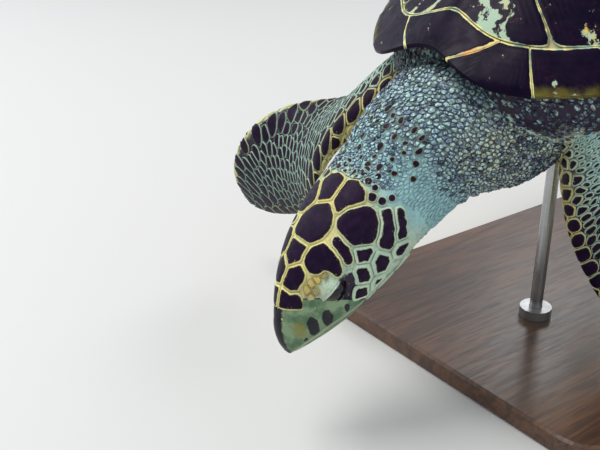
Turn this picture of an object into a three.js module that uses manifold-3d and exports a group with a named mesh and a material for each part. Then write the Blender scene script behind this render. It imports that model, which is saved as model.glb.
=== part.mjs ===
// Hawksbill sea turtle, life size, feeding pose: head down, front flippers spread and lowered.
// Millimetres, +Z up. The turtle faces -Y and its left side is +X.
// The origin is the centre of the underside of the stand's base.
import * as THREE from 'three';
import Module from 'manifold-3d';
import { mergeVertices } from 'three/addons/utils/BufferGeometryUtils.js';

const wasm = await Module();
wasm.setup();

// ---------------------------------------------------------------- driving dimensions

const GAP = 0.35;                 // clearance left between neighbouring pieces
const CUT = 0.4;                  // width of a parting cut

const BODY_PITCH = 10;            // nose-down tilt of the whole animal, degrees
const BODY_PLACE = [0, 40, 434];  // body origin: centre of the shell's margin plane

const SHELL = {
  halfLength: 390,
  halfWidth: 290,
  height: 178,                    // crown above the margin plane
  crownY: -30,
  fullness: 0.8,                  // 1 is a plain bowl, less draws the flanks in above the margin
  frontTaper: 0.15,
  rearTaper: 0.18,
  frontSweep: 0.2,                // how bluntly the front runs in to the nuchal scute
  notch: 24,                      // hollow of the front edge over the neck
  notchAngle: 0.2,
  arch: 34,                       // lift of the front edge over the neck
  archAngle: 0.28,
  tailLift: 8,
  rimThickness: 5,
  wallThickness: 15,
  rimWidth: 0.16,                 // share of the radius over which the rim thickens
  toothHeight: 0.035,             // serration of the rear margin, share of the radius
  keel: 5,
};
const NUCHAL_EDGE = 0.118;        // half angles of the scutes along the margin, radians
const FIRST_SEAM = 0.461;
const TAIL_SEAM = 2.96;
const MARGINALS_BEHIND_FIRST = 10;
const SERRATED_FROM = 1.2;

const PLASTRON = {
  frontY: -268, rearY: 300, halfWidth: 172, level: -98, thickness: 8,
  bridgeWidth: 84, bridgeRise: 94, bridgeAngle: 0.62, edgeRise: 20,
};

const HEAD = {
  tip: [0, -600, -200],           // body coordinates of the head frame's origin, above the beak tip
  pitch: 36.5,                    // how far the head points down from the shell's plane, degrees
  length: 209,
  lastStation: 205,
  partedAt: 175,                  // where the neck is parted from the head
};
// distance behind the beak tip, top, underside, half width, squareness, roof slope
const HEAD_STATIONS = [
  [0, -29, -33, 1.5, 2.0, 0.0],
  [4, -15, -34, 7, 2.0, 0.1],
  [13, 1, -37, 14, 2.0, 0.25],
  [30, 17, -41, 23, 2.1, 0.40],
  [49, 29, -45, 32, 2.2, 0.38],
  [75, 38, -49, 43, 2.3, 0.28],
  [105, 44, -53, 52, 2.3, 0.18],
  [139, 45, -61, 57, 2.3, 0.10],
  [171, 45, -71, 58, 2.2, 0.05],
  [209, 43, -86, 60, 2.1, 0.0],
];
const EYE = { place: [29.5, 78, 3], radius: 15.5 };
const MOUTH_LINE = [[-12, -31.5], [6, -29], [20, -25], [48, -24.5], [84, -30]];
const SHEATH_TOP = [30, 17];      // where the upper beak sheath ends on the midline
const SHEATH_CORNER = [88, -28];  // where both sheaths end at the corner of the mouth
const SHEATH_CHIN = [34, -42];

const NECK = {
  start: [0, -235, -42],
  startAngle: 2,
  // share of the way, half width, above, below
  stations: [[0, 100, 66, 90], [0.35, 88, 59, 107], [0.7, 72, 51, 103], [1, 60, 43, 86]],
};

const FLIPPER_LENGTH = 400;
// share of the length, leading half chord, trailing half chord, thickness
const FRONT_PLANFORM = [
  [0.00, 58, 56, 100],
  [0.15, 64, 54, 76],
  [0.30, 70, 56, 44],
  [0.45, 73, 62, 28],
  [0.60, 72, 68, 20],
  [0.75, 56, 70, 15],
  [0.88, 27, 62, 11],
  [0.96, 1, 50, 8],
  [1.00, -18, 43, 4],
];
const REAR_PLANFORM = [
  [0.00, 42, 42, 58],
  [0.20, 40, 42, 42],
  [0.40, 44, 48, 26],
  [0.60, 52, 58, 17],
  [0.80, 50, 56, 12],
  [0.93, 30, 36, 8],
  [1.00, 6, 10, 4],
];
// root, length, spanwise direction and upper-face direction at the root and at the tip
const FRONT_RIGHT = {
  root: [-111, -233, -52], length: FLIPPER_LENGTH,
  span: [[-0.44, -0.86, -0.27], [-0.56, 0.23, -0.8]], face: [[-0.41, 0.02, 0.91], [0.1, -0.88, -0.46]],
};
const FRONT_LEFT = {
  root: [114, -219, -54], length: FLIPPER_LENGTH,
  span: [[0.03, 0.12, -0.98], [0.44, 0.61, -0.66]], face: [[0.85, -0.53, -0.05], [0.84, -0.53, 0.09]],
};
const REAR_FLIPPER = {
  root: [120, 225, -48], length: 235,
  span: [[0.72, 0.62, -0.25], [0.45, 0.85, -0.3]], face: [[0.1, 0.1, 1], [0.25, 0.1, 1]],
};
const ARM_CUT = 0.34;             // where the upper arm meets the blade, share of the length

const TAIL = { root: [0, 300, -42], length: 92, droop: 12, radius: 30, tipRadius: 7 };

// claws: share of the length, size
const FRONT_CLAWS = [[0.58, 17], [0.72, 11]];
const REAR_CLAWS = [[0.66, 14], [0.8, 9]];

const STAND = {
  width: 460, depth: 560, height: 24, corner: 45, bevel: 3,
  rodRadius: 8, collarRadius: 20, collarHeight: 12,
  padRadius: 36, padHeight: 8,
  rods: { front: -165, rear: 170 },   // where they meet the plastron, along the body
};

const COLOURS = {
  skin: 0x8fa3a0, carapace: 0x2a1430, plastron: 0xd8c98a, beak: 0x6f7c4a, eye: 0x120a14,
  claw: 0x3a3226, base: 0x2b2420, rod: 0xb8babd,
};

// ---------------------------------------------------------------- small tools

const rad = THREE.MathUtils.degToRad;
const clamp01 = (t) => Math.min(1, Math.max(0, t));
const smooth = (t) => clamp01(t) ** 2 * (3 - 2 * clamp01(t));
const gauss = (x, middle, width) => Math.exp(-(((x - middle) / width) ** 2));
const signedPower = (v, p) => Math.sign(v) * Math.abs(v) ** p;
const vec = (p) => new THREE.Vector3(...p);

// Cubic Hermite curve through a table's rows; slopes are central differences.
function alongTable(table, x, column) {
  const last = table.length - 1;
  let i = table.findIndex((row) => row[0] > x) - 1;
  if (i === -2) i = last - 1;
  i = Math.max(0, i);
  const slope = (k) => {
    const a = table[Math.max(0, k - 1)];
    const b = table[Math.min(last, k + 1)];
    return (b[column] - a[column]) / (b[0] - a[0]);
  };
  const span = table[i + 1][0] - table[i][0];
  const t = clamp01((x - table[i][0]) / span);
  const [p, q] = [table[i][column], table[i + 1][column]];
  const [m, n] = [slope(i) * span, slope(i + 1) * span];
  return p * (2 * t ** 3 - 3 * t ** 2 + 1) + m * (t ** 3 - 2 * t ** 2 + t)
    + q * (3 * t ** 2 - 2 * t ** 3) + n * (t ** 3 - t ** 2);
}

function solidOf(geometry) {
  geometry.deleteAttribute('normal');
  geometry.deleteAttribute('uv');
  const merged = mergeVertices(geometry, 1e-4);
  return new wasm.Manifold(new wasm.Mesh({
    numProp: 3,
    vertProperties: new Float32Array(merged.attributes.position.array),
    triVerts: new Uint32Array(merged.index.array),
  }));
}

function geometryOf(solid) {
  const mesh = solid.getMesh();
  const geometry = new THREE.BufferGeometry();
  const positions = new Float32Array(mesh.vertProperties);
  geometry.setAttribute('position', new THREE.BufferAttribute(positions, 3));
  geometry.setIndex(new THREE.BufferAttribute(new Uint32Array(mesh.triVerts), 1));
  return geometry;
}

// Skin a row of closed rings and close both ends with a fan to the ring's middle.
function loft(rings) {
  const count = rings[0].length;
  const points = rings.flat();
  const total = (ring) => ring.reduce((sum, p) => sum.add(p), new THREE.Vector3());
  const middle = (ring) => total(ring).divideScalar(count);
  const startIndex = points.push(middle(rings[0])) - 1;
  const endIndex = points.push(middle(rings[rings.length - 1])) - 1;
  const index = [];
  for (let i = 0; i < rings.length - 1; i += 1) {
    for (let j = 0; j < count; j += 1) {
      const k = (j + 1) % count;
      const [a, b, c, d] = [i * count + j, i * count + k, (i + 1) * count + k, (i + 1) * count + j];
      index.push(a, b, c, a, c, d);
    }
  }
  const lastRow = (rings.length - 1) * count;
  for (let j = 0; j < count; j += 1) {
    const k = (j + 1) % count;
    index.push(startIndex, k, j);
    index.push(endIndex, lastRow + j, lastRow + k);
  }
  let volume = 0;
  for (let t = 0; t < index.length; t += 3) {
    const [a, b, c] = [points[index[t]], points[index[t + 1]], points[index[t + 2]]];
    volume += a.dot(b.clone().cross(c));
  }
  if (volume < 0) index.reverse();
  const geometry = new THREE.BufferGeometry();
  const positions = points.flatMap((p) => [...p]);
  geometry.setAttribute('position', new THREE.Float32BufferAttribute(positions, 3));
  geometry.setIndex(index);
  return solidOf(geometry);
}

const around = (count) => Array.from({ length: count }, (_, j) => (2 * Math.PI * j) / count);
const signedAround = (count) => around(count).map((a) => (a > Math.PI ? a - 2 * Math.PI : a));
const steps = (count, from = 0, to = 1) => (
  Array.from({ length: count + 1 }, (_, i) => from + ((to - from) * i) / count)
);

function ball(place, radius, segments = 12) {
  const geometry = new THREE.SphereGeometry(radius, segments, segments * 0.625);
  geometry.translate(...place);
  return solidOf(geometry);
}

// A slab cut out of the profile plane (y, z) and run across the animal.
function slab(outline, reach = 400) {
  const shape = new THREE.Shape(outline.map(([y, z]) => new THREE.Vector2(y, z)));
  const geometry = new THREE.ExtrudeGeometry(shape, { depth: 2 * reach, bevelEnabled: false });
  geometry.translate(0, 0, -reach);
  geometry.applyMatrix4(new THREE.Matrix4().set(0, 0, 1, 0, 1, 0, 0, 0, 0, 1, 0, 0, 0, 0, 0, 1));
  return solidOf(geometry);
}

// A large block lying on one side of a plane.
function halfSpace(point, normal, size = 900) {
  const geometry = new THREE.BoxGeometry(size, size, size);
  geometry.translate(0, 0, size / 2);
  const upright = new THREE.Vector3(0, 0, 1);
  geometry.applyQuaternion(new THREE.Quaternion().setFromUnitVectors(upright, normal.clone().normalize()));
  geometry.translate(...point);
  return solidOf(geometry);
}

// ---------------------------------------------------------------- carapace

// Scute borders along the margin, from the nuchal scute back to the tail.
const marginBorders = [0, NUCHAL_EDGE, FIRST_SEAM];
for (let i = 1; i <= MARGINALS_BEHIND_FIRST; i += 1) {
  marginBorders.push(FIRST_SEAM + ((TAIL_SEAM - FIRST_SEAM) * i) / MARGINALS_BEHIND_FIRST);
}
marginBorders.push(Math.PI);

// Saw-tooth of the rear margin: it grows through each scute and drops at the seam behind it.
function tooth(angle) {
  const k = Math.max(1, marginBorders.findIndex((border) => border >= angle - 1e-9));
  const along = (angle - marginBorders[k - 1]) / (marginBorders[k] - marginBorders[k - 1]);
  return SHELL.toothHeight * smooth((angle - SERRATED_FROM) / 1.2) * (along ** 1.5 - 0.3);
}

// Margin line: an ellipse drawn in towards both ends, notched and arched over the neck.
function marginPoint(phi) {
  const angle = Math.abs(phi);
  const c = Math.cos(phi);
  const taper = c > 0 ? SHELL.frontTaper : SHELL.rearTaper;
  const sweep = c > 0 ? c * (1 - SHELL.frontSweep * (1 - c)) : c;
  return new THREE.Vector3(
    SHELL.halfWidth * Math.sin(phi) * (1 - taper * c * c),
    -SHELL.halfLength * sweep + SHELL.notch * gauss(angle, 0, SHELL.notchAngle),
    SHELL.arch * gauss(angle, 0, SHELL.archAngle) + SHELL.tailLift * gauss(angle, Math.PI, 0.5),
  );
}

// Outer face of the shell: rho runs from the crown (0) to the margin (1).
function shellPoint(rho, phi, serrated = true) {
  const angle = Math.abs(phi);
  const edge = marginPoint(phi);
  const k = SHELL.fullness;
  const fall = k * (1 - rho ** 2.1) + (1 - k) * (1 + Math.cos(Math.PI * rho)) / 2;
  const reach = rho * (1 + (serrated ? tooth(angle) * smooth((rho - 0.85) / 0.15) : 0));
  const keel = SHELL.keel * gauss(rho * edge.x, 0, 16) * smooth((1 - rho) / 0.2);
  return new THREE.Vector3(
    reach * edge.x,
    SHELL.crownY + reach * (edge.y - SHELL.crownY),
    edge.z * rho ** 3 + SHELL.height * fall + keel,
  );
}

function shellInside(rho, phi, extra = 0) {
  const thickness = SHELL.rimThickness
    + (SHELL.wallThickness - SHELL.rimThickness) * smooth((1 - rho) / SHELL.rimWidth);
  const p = shellPoint(rho, phi, false);
  p.z -= thickness + extra;
  return p;
}

// Plain scutes take two samples, serrated ones a third beside the seam.
const scuteAngles = [];
for (let i = 0; i < marginBorders.length - 1; i += 1) {
  const width = marginBorders[i + 1] - marginBorders[i];
  const shares = marginBorders[i] < SERRATED_FROM ? [0, 0.5] : [0.06, 0.5, 0.98];
  scuteAngles.push(...shares.map((share) => marginBorders[i] + share * width));
}
const shellAngles = [...scuteAngles, ...scuteAngles.slice(1).reverse().map((a) => -a)];

const SHELL_INSIDE_RINGS = [0.985, 0.85, 0.55, 0.15];
const carapace = loft([
  ...[0.05, 0.27, 0.5, 0.7, 0.87, 1].map((r) => shellAngles.map((a) => shellPoint(r, a))),
  ...SHELL_INSIDE_RINGS.map((r) => shellAngles.map((a) => shellInside(r, a))),
]);
// Everything above the shell's inner face, with clearance; it trims whatever lies under the shell.
const shellCutter = loft([
  shellAngles.map((a) => shellPoint(0.5, a).setZ(360)),
  shellAngles.map((a) => shellPoint(1.2, a, false).setZ(120)),
  shellAngles.map((a) => shellPoint(1.01, a).add(new THREE.Vector3(0, 0, -SHELL.rimThickness / 2))),
  ...SHELL_INSIDE_RINGS.map((r) => shellAngles.map((a) => shellInside(r, a, GAP))),
]);

// ---------------------------------------------------------------- plastron

const BELLY_SIDES = 24;

// 1 along the bridges at mid-length, 0 before and behind them.
const bridgeShare = (phi) => Math.exp(-(((Math.abs(phi) - 1.5) / PLASTRON.bridgeAngle) ** 4));

// Underside of the belly shell; the bridges rise at mid-length to meet the carapace.
function plastronPoint(rho, phi) {
  const bridge = bridgeShare(phi);
  const middle = (PLASTRON.frontY + PLASTRON.rearY) / 2;
  const halfLength = (PLASTRON.rearY - PLASTRON.frontY) / 2;
  const side = Math.sin(phi) * (PLASTRON.halfWidth + PLASTRON.bridgeWidth * bridge);
  const rise = PLASTRON.edgeRise * (1 - bridge) * smooth((rho - 0.6) / 0.5)
    + PLASTRON.bridgeRise * bridge * smooth((rho - 0.55) / 0.62) * 1.18;
  return new THREE.Vector3(rho * side, middle - rho * halfLength * Math.cos(phi), PLASTRON.level + rise);
}

function plastronSolid(grow) {
  const rhos = [0.05, 0.55, 0.72, 0.86, 1];
  const reach = 1 + grow / 200;
  const angles = signedAround(BELLY_SIDES);
  const layer = (lift) => rhos.map((r) => angles.map((a) => {
    const p = plastronPoint(r * reach, a);
    p.z += lift;
    return p;
  }));
  return loft([...layer(-grow), ...layer(PLASTRON.thickness + grow).reverse()]);
}

// ---------------------------------------------------------------- trunk

const INTO_SHELL = 4;

// Flesh between the two shells: rings from under the crown, round the shoulders, down to the belly.
// It is drawn a little into both shells, which then cut it.
function trunkSolid(grow) {
  const reach = 1 + grow / 220;
  const angles = signedAround(BELLY_SIDES);
  const upper = [[0.3, 25], [0.83, 6], [0.9, -INTO_SHELL]]
    .map(([r, below]) => angles.map((a) => shellInside(r * reach, a, below)));
  const walls = [[-22, 0.93], [-58, 0.88], [-84, 0.75]].map(([z, r]) => angles.map((a) => {
    const p = shellPoint(r * reach * (1 - 0.19 * bridgeShare(a)), a, false);
    return new THREE.Vector3(p.x, p.y, z - grow);
  }));
  const lower = [0.55, 0.1].map((r) => angles.map((a) => plastronPoint(r, a)
    .add(new THREE.Vector3(0, 0, PLASTRON.thickness - INTO_SHELL))));
  return loft([...upper, ...walls, ...lower]);
}

// ---------------------------------------------------------------- head and neck

const headTurn = new THREE.Matrix4().makeRotationX(rad(HEAD.pitch)).setPosition(...HEAD.tip);
const intoBody = (x, y, z) => new THREE.Vector3(x, y, z).applyMatrix4(headTurn);

// Ring in a local cross-section: a superellipse whose upper half narrows like a roof.
function crossSection(angle, top, bottom, half, squareness, roof) {
  const c = signedPower(Math.cos(angle), 2 / squareness);
  const s = signedPower(Math.sin(angle), 2 / squareness);
  return [half * s * (1 - roof * Math.cos(angle)), (top + bottom) / 2 + ((top - bottom) / 2) * c];
}

// Brow ridge over the eye and the fullness of the cheek behind it.
function headPoint(back, angle) {
  const row = [1, 2, 3, 4, 5].map((column) => alongTable(HEAD_STATIONS, back, column));
  const [x, z] = crossSection(angle, ...row);
  const lateral = Math.sign(x) * Math.abs(Math.sin(angle)) ** 2;
  const brow = 3.5 * gauss(back, 64, 20) * gauss(z, 27, 8);
  const cheek = 3 * gauss(back, 128, 32) * gauss(z, -12, 24);
  return intoBody(x + lateral * (brow + cheek), back, z);
}

const HEAD_RINGS = [0.3, 2, 5, 10, 17, 26, 36, 48, 60, 73, 88, 104, 122, 142, 163, 185, HEAD.lastStation];
const headAngles = around(26);
const neckEnd = intoBody(0, HEAD.length, 0);

// Hermite path of the neck's axis, with its direction.
function neckAxis(t) {
  const p = vec(NECK.start);
  const q = neckEnd;
  const reach = p.distanceTo(q);
  const heading = (angle) => new THREE.Vector3(0, -Math.cos(rad(angle)), -Math.sin(rad(angle)));
  const m = heading(NECK.startAngle).multiplyScalar(reach);
  const n = heading(HEAD.pitch).multiplyScalar(reach);
  const at = p.clone().multiplyScalar(2 * t ** 3 - 3 * t ** 2 + 1)
    .addScaledVector(m, t ** 3 - 2 * t ** 2 + t)
    .addScaledVector(q, 3 * t ** 2 - 2 * t ** 3)
    .addScaledVector(n, t ** 3 - t ** 2);
  const turn = rad(THREE.MathUtils.lerp(NECK.startAngle, HEAD.pitch, smooth(t)));
  return { at, up: new THREE.Vector3(0, -Math.sin(turn), Math.cos(turn)) };
}

function neckPoint(t, angle) {
  const [half, up, down] = [1, 2, 3].map((column) => alongTable(NECK.stations, t, column));
  const [x, z] = crossSection(angle, up, -down, half, 2.1, 0);
  const { at, up: upward } = neckAxis(t);
  return at.clone().addScaledVector(upward, z).add(new THREE.Vector3(x, 0, 0));
}

const headAndNeck = loft([
  ...HEAD_RINGS.map((back) => headAngles.map((a) => headPoint(back, a))),
  ...steps(7, 1, 0).map((t) => headAngles.map((a) => neckPoint(t, a))),
]);

// ---------------------------------------------------------------- flippers and tail

// Sweep the blade section along an eased, bending span.
// The section is thickest near the leading edge and thin at the trailing edge.
function flipperFrame(pose, share) {
  const [d0, d1] = pose.span.map(vec).map((v) => v.normalize());
  const [n0, n1] = pose.face.map(vec).map((v) => v.normalize());
  const at = vec(pose.root);
  const parts = 40;
  for (let i = 0; i < parts; i += 1) {
    const e = smooth(((i + 0.5) / parts) * share);
    at.addScaledVector(d0.clone().lerp(d1, e).normalize(), (pose.length * share) / parts);
  }
  const span = d0.clone().lerp(d1, smooth(share)).normalize();
  const face = n0.clone().lerp(n1, smooth(share));
  face.addScaledVector(span, -face.dot(span)).normalize();
  return { at, span, face };
}

function flipperPoint(pose, planform, side, share, angle, grow = 0) {
  const scale = pose.length / (planform === FRONT_PLANFORM ? FLIPPER_LENGTH : REAR_FLIPPER.length);
  const [lead, trail, thick] = [1, 2, 3].map((column) => alongTable(planform, share, column) * scale);
  const { at, span, face } = flipperFrame(pose, share);
  const chord = face.clone().cross(span).multiplyScalar(side);
  const u = Math.cos(angle);
  const bulk = 0.62 - 0.38 * u;
  const across = (trail - lead) / 2 + ((trail + lead) / 2 + grow) * u;
  const lift = (0.62 * thick * bulk + grow) * Math.sin(angle);
  return at.addScaledVector(chord, across).addScaledVector(face, lift);
}

function flipperSolid(pose, planform, side, rings, sides, grow = 0) {
  const ring = (share) => around(sides).map((a) => flipperPoint(pose, planform, side, share, a, grow));
  return loft(rings.map(ring));
}

const mirrored = (pose) => ({
  ...pose,
  root: [-pose.root[0], pose.root[1], pose.root[2]],
  span: pose.span.map(([x, y, z]) => [-x, y, z]),
  face: pose.face.map(([x, y, z]) => [-x, y, z]),
});

const FLIPPER_SIDES = 16;
const FRONT_RINGS = [0, 0.12, 0.22, 0.3, 0.38, 0.46, 0.54, 0.62, 0.7, 0.78, 0.86, 0.92, 0.965, 0.99];
const REAR_RINGS = [0, 0.16, 0.3, 0.42, 0.54, 0.66, 0.77, 0.87, 0.94, 0.985];
const FRONT = { planform: FRONT_PLANFORM, rings: FRONT_RINGS, claws: FRONT_CLAWS };
const REAR = { planform: REAR_PLANFORM, rings: REAR_RINGS, claws: REAR_CLAWS };
const LIMBS = {
  front_left: { ...FRONT, pose: FRONT_LEFT, side: 1 },
  front_right: { ...FRONT, pose: FRONT_RIGHT, side: -1 },
  rear_left: { ...REAR, pose: REAR_FLIPPER, side: 1 },
  rear_right: { ...REAR, pose: mirrored(REAR_FLIPPER), side: -1 },
};

// A short curved cone that grows out of the leading edge and leans towards the tip.
function clawSolid(limb, share, size) {
  const { span, face } = flipperFrame(limb.pose, share);
  const chord = face.clone().cross(span).multiplyScalar(-limb.side);
  const root = flipperPoint(limb.pose, limb.planform, limb.side, share, Math.PI);
  const rings = [-0.35, 0.2, 0.6, 0.97].map((t) => around(6).map((a) => {
    const radius = 0.27 * size * (1 - 0.85 * Math.max(0, t));
    const lean = 0.5 * Math.max(0, t) ** 2 * size;
    return root.clone()
      .addScaledVector(chord, t * size)
      .addScaledVector(span, lean + radius * Math.cos(a))
      .addScaledVector(face, radius * Math.sin(a) - 0.25 * lean);
  }));
  const grown = flipperSolid(limb.pose, limb.planform, limb.side, limb.rings, FLIPPER_SIDES, GAP);
  return loft(rings).subtract(grown);
}

function tailSolid() {
  const rings = steps(6).map((t) => around(14).map((a) => {
    const taper = THREE.MathUtils.lerp(TAIL.radius, TAIL.tipRadius, t);
    const radius = taper * Math.sqrt(1 - 0.8 * t ** 6);
    return new THREE.Vector3(
      TAIL.root[0] + 1.15 * radius * Math.sin(a),
      TAIL.root[1] + TAIL.length * t,
      TAIL.root[2] - TAIL.droop * t * t + 0.8 * radius * Math.cos(a),
    );
  }));
  return loft(rings);
}

// ---------------------------------------------------------------- joining and parting the flesh

const headForward = new THREE.Vector3(0, -Math.cos(rad(HEAD.pitch)), -Math.sin(rad(HEAD.pitch)));
const headFrontOf = (back) => halfSpace(intoBody(0, back, 0), headForward);

const plastron = plastronSolid(0).subtract(shellCutter);
const plastronCutter = plastronSolid(GAP);
const eyes = { eye_left: 1, eye_right: -1 };
const eyeBall = (side, grow) => {
  const [x, y, z] = EYE.place;
  return ball([...intoBody(side * x, y, z)], EYE.radius + grow);
};

const shells = shellCutter.add(plastronCutter);
const trunk = trunkSolid(0).subtract(shells);
const bodyCutter = trunkSolid(GAP).add(shells);

const bodyPlacing = new THREE.Matrix4().makeRotationX(rad(BODY_PITCH)).setPosition(...BODY_PLACE);
const turtle = new THREE.Group();
turtle.applyMatrix4(bodyPlacing);
const model = new THREE.Group();
model.add(turtle);

function makeMesh(name, solid, color, roughness = 0.6, metalness = 0) {
  const material = new THREE.MeshStandardMaterial({ color, roughness, metalness });
  const mesh = new THREE.Mesh(geometryOf(solid), material);
  mesh.name = name;
  return mesh;
}
const add = (...piece) => turtle.add(makeMesh(...piece));

// Head: free of the neck, then parted into flesh and the two beak sheaths.
let headWhole = headAndNeck.intersect(headFrontOf(HEAD.partedAt - CUT / 2));
const neckWhole = headAndNeck.subtract(headFrontOf(HEAD.partedAt + CUT / 2));
for (const [name, side] of Object.entries(eyes)) {
  add(name, eyeBall(side, 0), COLOURS.eye, 0.1);
  headWhole = headWhole.subtract(eyeBall(side, GAP));
}
const inHead = (solid) => {
  const geometry = geometryOf(solid);
  geometry.applyMatrix4(headTurn);
  return solidOf(geometry);
};
const mouthSlit = inHead(slab([
  ...MOUTH_LINE.map(([y, z]) => [y, z + CUT / 2]),
  ...MOUTH_LINE.slice().reverse().map(([y, z]) => [y, z - CUT / 2]),
]));
const [tipY, farZ] = [-30, 90];
const sheathRegion = inHead(slab([[tipY, farZ], SHEATH_TOP, SHEATH_CORNER, SHEATH_CHIN, [tipY, -farZ]]));
const fleshRegion = inHead(slab([
  [tipY, farZ], [SHEATH_TOP[0], SHEATH_TOP[1] + CUT], [SHEATH_CORNER[0] + CUT, SHEATH_CORNER[1]],
  [SHEATH_CHIN[0], SHEATH_CHIN[1] - CUT], [tipY, -farZ],
]));
const aboveMouth = inHead(slab([...MOUTH_LINE, [140, -30], [140, farZ], [tipY, farZ]]));
const beak = headWhole.intersect(sheathRegion).subtract(mouthSlit);
add('beak_upper', beak.intersect(aboveMouth), COLOURS.beak, 0.35);
add('beak_lower', beak.subtract(aboveMouth), COLOURS.beak, 0.35);
add('head', headWhole.subtract(fleshRegion), COLOURS.skin);

// Trunk takes the roots of the limbs, the neck and the tail; each is parted outside the shells.
let neck = neckWhole.subtract(bodyCutter);
const limbSolid = (limb, grow = 0) => (
  flipperSolid(limb.pose, limb.planform, limb.side, limb.rings, FLIPPER_SIDES, grow)
);
for (const [name, limb] of Object.entries(LIMBS)) {
  const whole = limbSolid(limb).subtract(bodyCutter);
  const { at, span } = flipperFrame(limb.pose, ARM_CUT);
  const outer = halfSpace(at, span);
  if (name.startsWith('front')) {
    const inner = halfSpace(at.clone().addScaledVector(span, -CUT), span.clone().negate());
    add(`flipper_${name}_arm`, whole.intersect(inner), COLOURS.skin);
    add(`flipper_${name}_blade`, whole.intersect(outer), COLOURS.skin);
    neck = neck.subtract(limbSolid(limb, GAP));
  } else {
    add(`flipper_${name}`, whole, COLOURS.skin);
  }
  limb.claws.forEach(([share, size], i) => {
    add(`claw_${name}_${i + 1}`, clawSolid(limb, share, size), COLOURS.claw, 0.4);
  });
}
add('neck', neck, COLOURS.skin);
add('tail', tailSolid().subtract(bodyCutter), COLOURS.skin);
add('trunk', trunk, COLOURS.skin);
add('carapace', carapace, COLOURS.carapace, 0.3);
add('plastron', plastron, COLOURS.plastron, 0.4);

// ---------------------------------------------------------------- stand

// A rounded slab with a chamfered rim.
function baseSolid() {
  const [w, d, c] = [STAND.width / 2 - STAND.bevel, STAND.depth / 2 - STAND.bevel, STAND.corner];
  const outline = new THREE.Shape();
  outline.moveTo(-w + c, -d);
  outline.lineTo(w - c, -d).absarc(w - c, -d + c, c, -Math.PI / 2, 0);
  outline.lineTo(w, d - c).absarc(w - c, d - c, c, 0, Math.PI / 2);
  outline.lineTo(-w + c, d).absarc(-w + c, d - c, c, Math.PI / 2, Math.PI);
  outline.lineTo(-w, -d + c).absarc(-w + c, -d + c, c, Math.PI, 1.5 * Math.PI);
  const geometry = new THREE.ExtrudeGeometry(outline, {
    depth: STAND.height - 2 * STAND.bevel, curveSegments: 4,
    bevelThickness: STAND.bevel, bevelSize: STAND.bevel, bevelSegments: 1,
  });
  geometry.translate(0, 0, STAND.bevel);
  return solidOf(geometry);
}

function upright(radius, from, to, segments, y) {
  const geometry = new THREE.CylinderGeometry(radius, radius, to - from, segments);
  geometry.rotateX(Math.PI / 2);
  geometry.translate(0, y, (from + to) / 2);
  return solidOf(geometry);
}

model.add(makeMesh('stand_base', baseSolid(), COLOURS.base, 0.5));
for (const [name, along] of Object.entries(STAND.rods)) {
  const under = PLASTRON.level - GAP - STAND.padHeight;
  const pad = new THREE.CylinderGeometry(STAND.padRadius, STAND.padRadius - 3, STAND.padHeight, 20);
  pad.rotateX(Math.PI / 2);
  pad.translate(0, along, under + STAND.padHeight / 2);
  add(`stand_pad_${name}`, solidOf(pad), COLOURS.base, 0.7);
  const foot = new THREE.Vector3(0, along, under - GAP).applyMatrix4(bodyPlacing);
  const slope = new THREE.Vector3(0, -Math.sin(rad(BODY_PITCH)), Math.cos(rad(BODY_PITCH)));
  const floorTop = STAND.height + GAP;
  const rod = upright(STAND.rodRadius, floorTop, foot.z + 20, 16, foot.y).subtract(halfSpace(foot, slope));
  const collar = upright(STAND.collarRadius, floorTop, floorTop + STAND.collarHeight, 18, foot.y)
    .subtract(upright(STAND.rodRadius + GAP, 0, 2 * floorTop + STAND.collarHeight, 16, foot.y));
  model.add(makeMesh(`stand_rod_${name}`, rod, COLOURS.rod, 0.3, 1));
  model.add(makeMesh(`stand_collar_${name}`, collar, COLOURS.rod, 0.3, 1));
}

export default model;
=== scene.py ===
import math
from functools import partialmethod
from types import SimpleNamespace

import bpy
import numpy as np
from bpy.props import FloatProperty, FloatVectorProperty, IntProperty, PointerProperty
from mathutils import Matrix


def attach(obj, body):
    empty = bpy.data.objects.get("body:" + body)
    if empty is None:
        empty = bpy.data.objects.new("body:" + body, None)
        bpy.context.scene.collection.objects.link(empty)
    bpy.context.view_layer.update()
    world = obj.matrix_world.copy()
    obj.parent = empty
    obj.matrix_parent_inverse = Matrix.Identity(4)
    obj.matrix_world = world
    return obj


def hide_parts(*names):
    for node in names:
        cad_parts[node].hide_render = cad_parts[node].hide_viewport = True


bl_info = {
    "name": "Hawksbill turtle model",
    "version": (1, 0, 0),
    "blender": (4, 5, 0),
    "location": "3D View > Sidebar > Turtle",
    "description": "Builds the skin, scales, shell and stand of a life-size hawksbill turtle",
    "category": "Mesh",
}

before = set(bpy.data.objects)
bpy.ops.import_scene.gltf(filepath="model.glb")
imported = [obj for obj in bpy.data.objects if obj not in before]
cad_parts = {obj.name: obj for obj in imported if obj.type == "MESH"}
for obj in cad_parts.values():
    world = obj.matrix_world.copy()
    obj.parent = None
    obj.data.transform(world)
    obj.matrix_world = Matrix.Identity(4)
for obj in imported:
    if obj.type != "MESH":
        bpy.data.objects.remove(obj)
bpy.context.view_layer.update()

# ---------------- sizes shared with the solids
# Millimetres in the body's own frame: +X its left, -Y its front, +Z its back,
# origin at the middle of the shell's margin plane.

BODY_PITCH = math.radians(10)
BODY_PLACE = np.array([0.0, 40.0, 434.0])

SHELL_HALF_LENGTH, SHELL_HALF_WIDTH, SHELL_HEIGHT, CROWN_Y = 390.0, 290.0, 178.0, -30.0
MARGIN_LINE = 0.885          # share of the radius where the marginal scutes begin
BELLY_Y = 16.0               # middle of the belly shell
BORDERS = np.array([0, 0.118, *np.linspace(0.461, 2.96, 11), math.pi])

HEAD_TIP = np.array([0.0, -600.0, -200.0])
HEAD_PITCH = math.radians(36.5)
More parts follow.
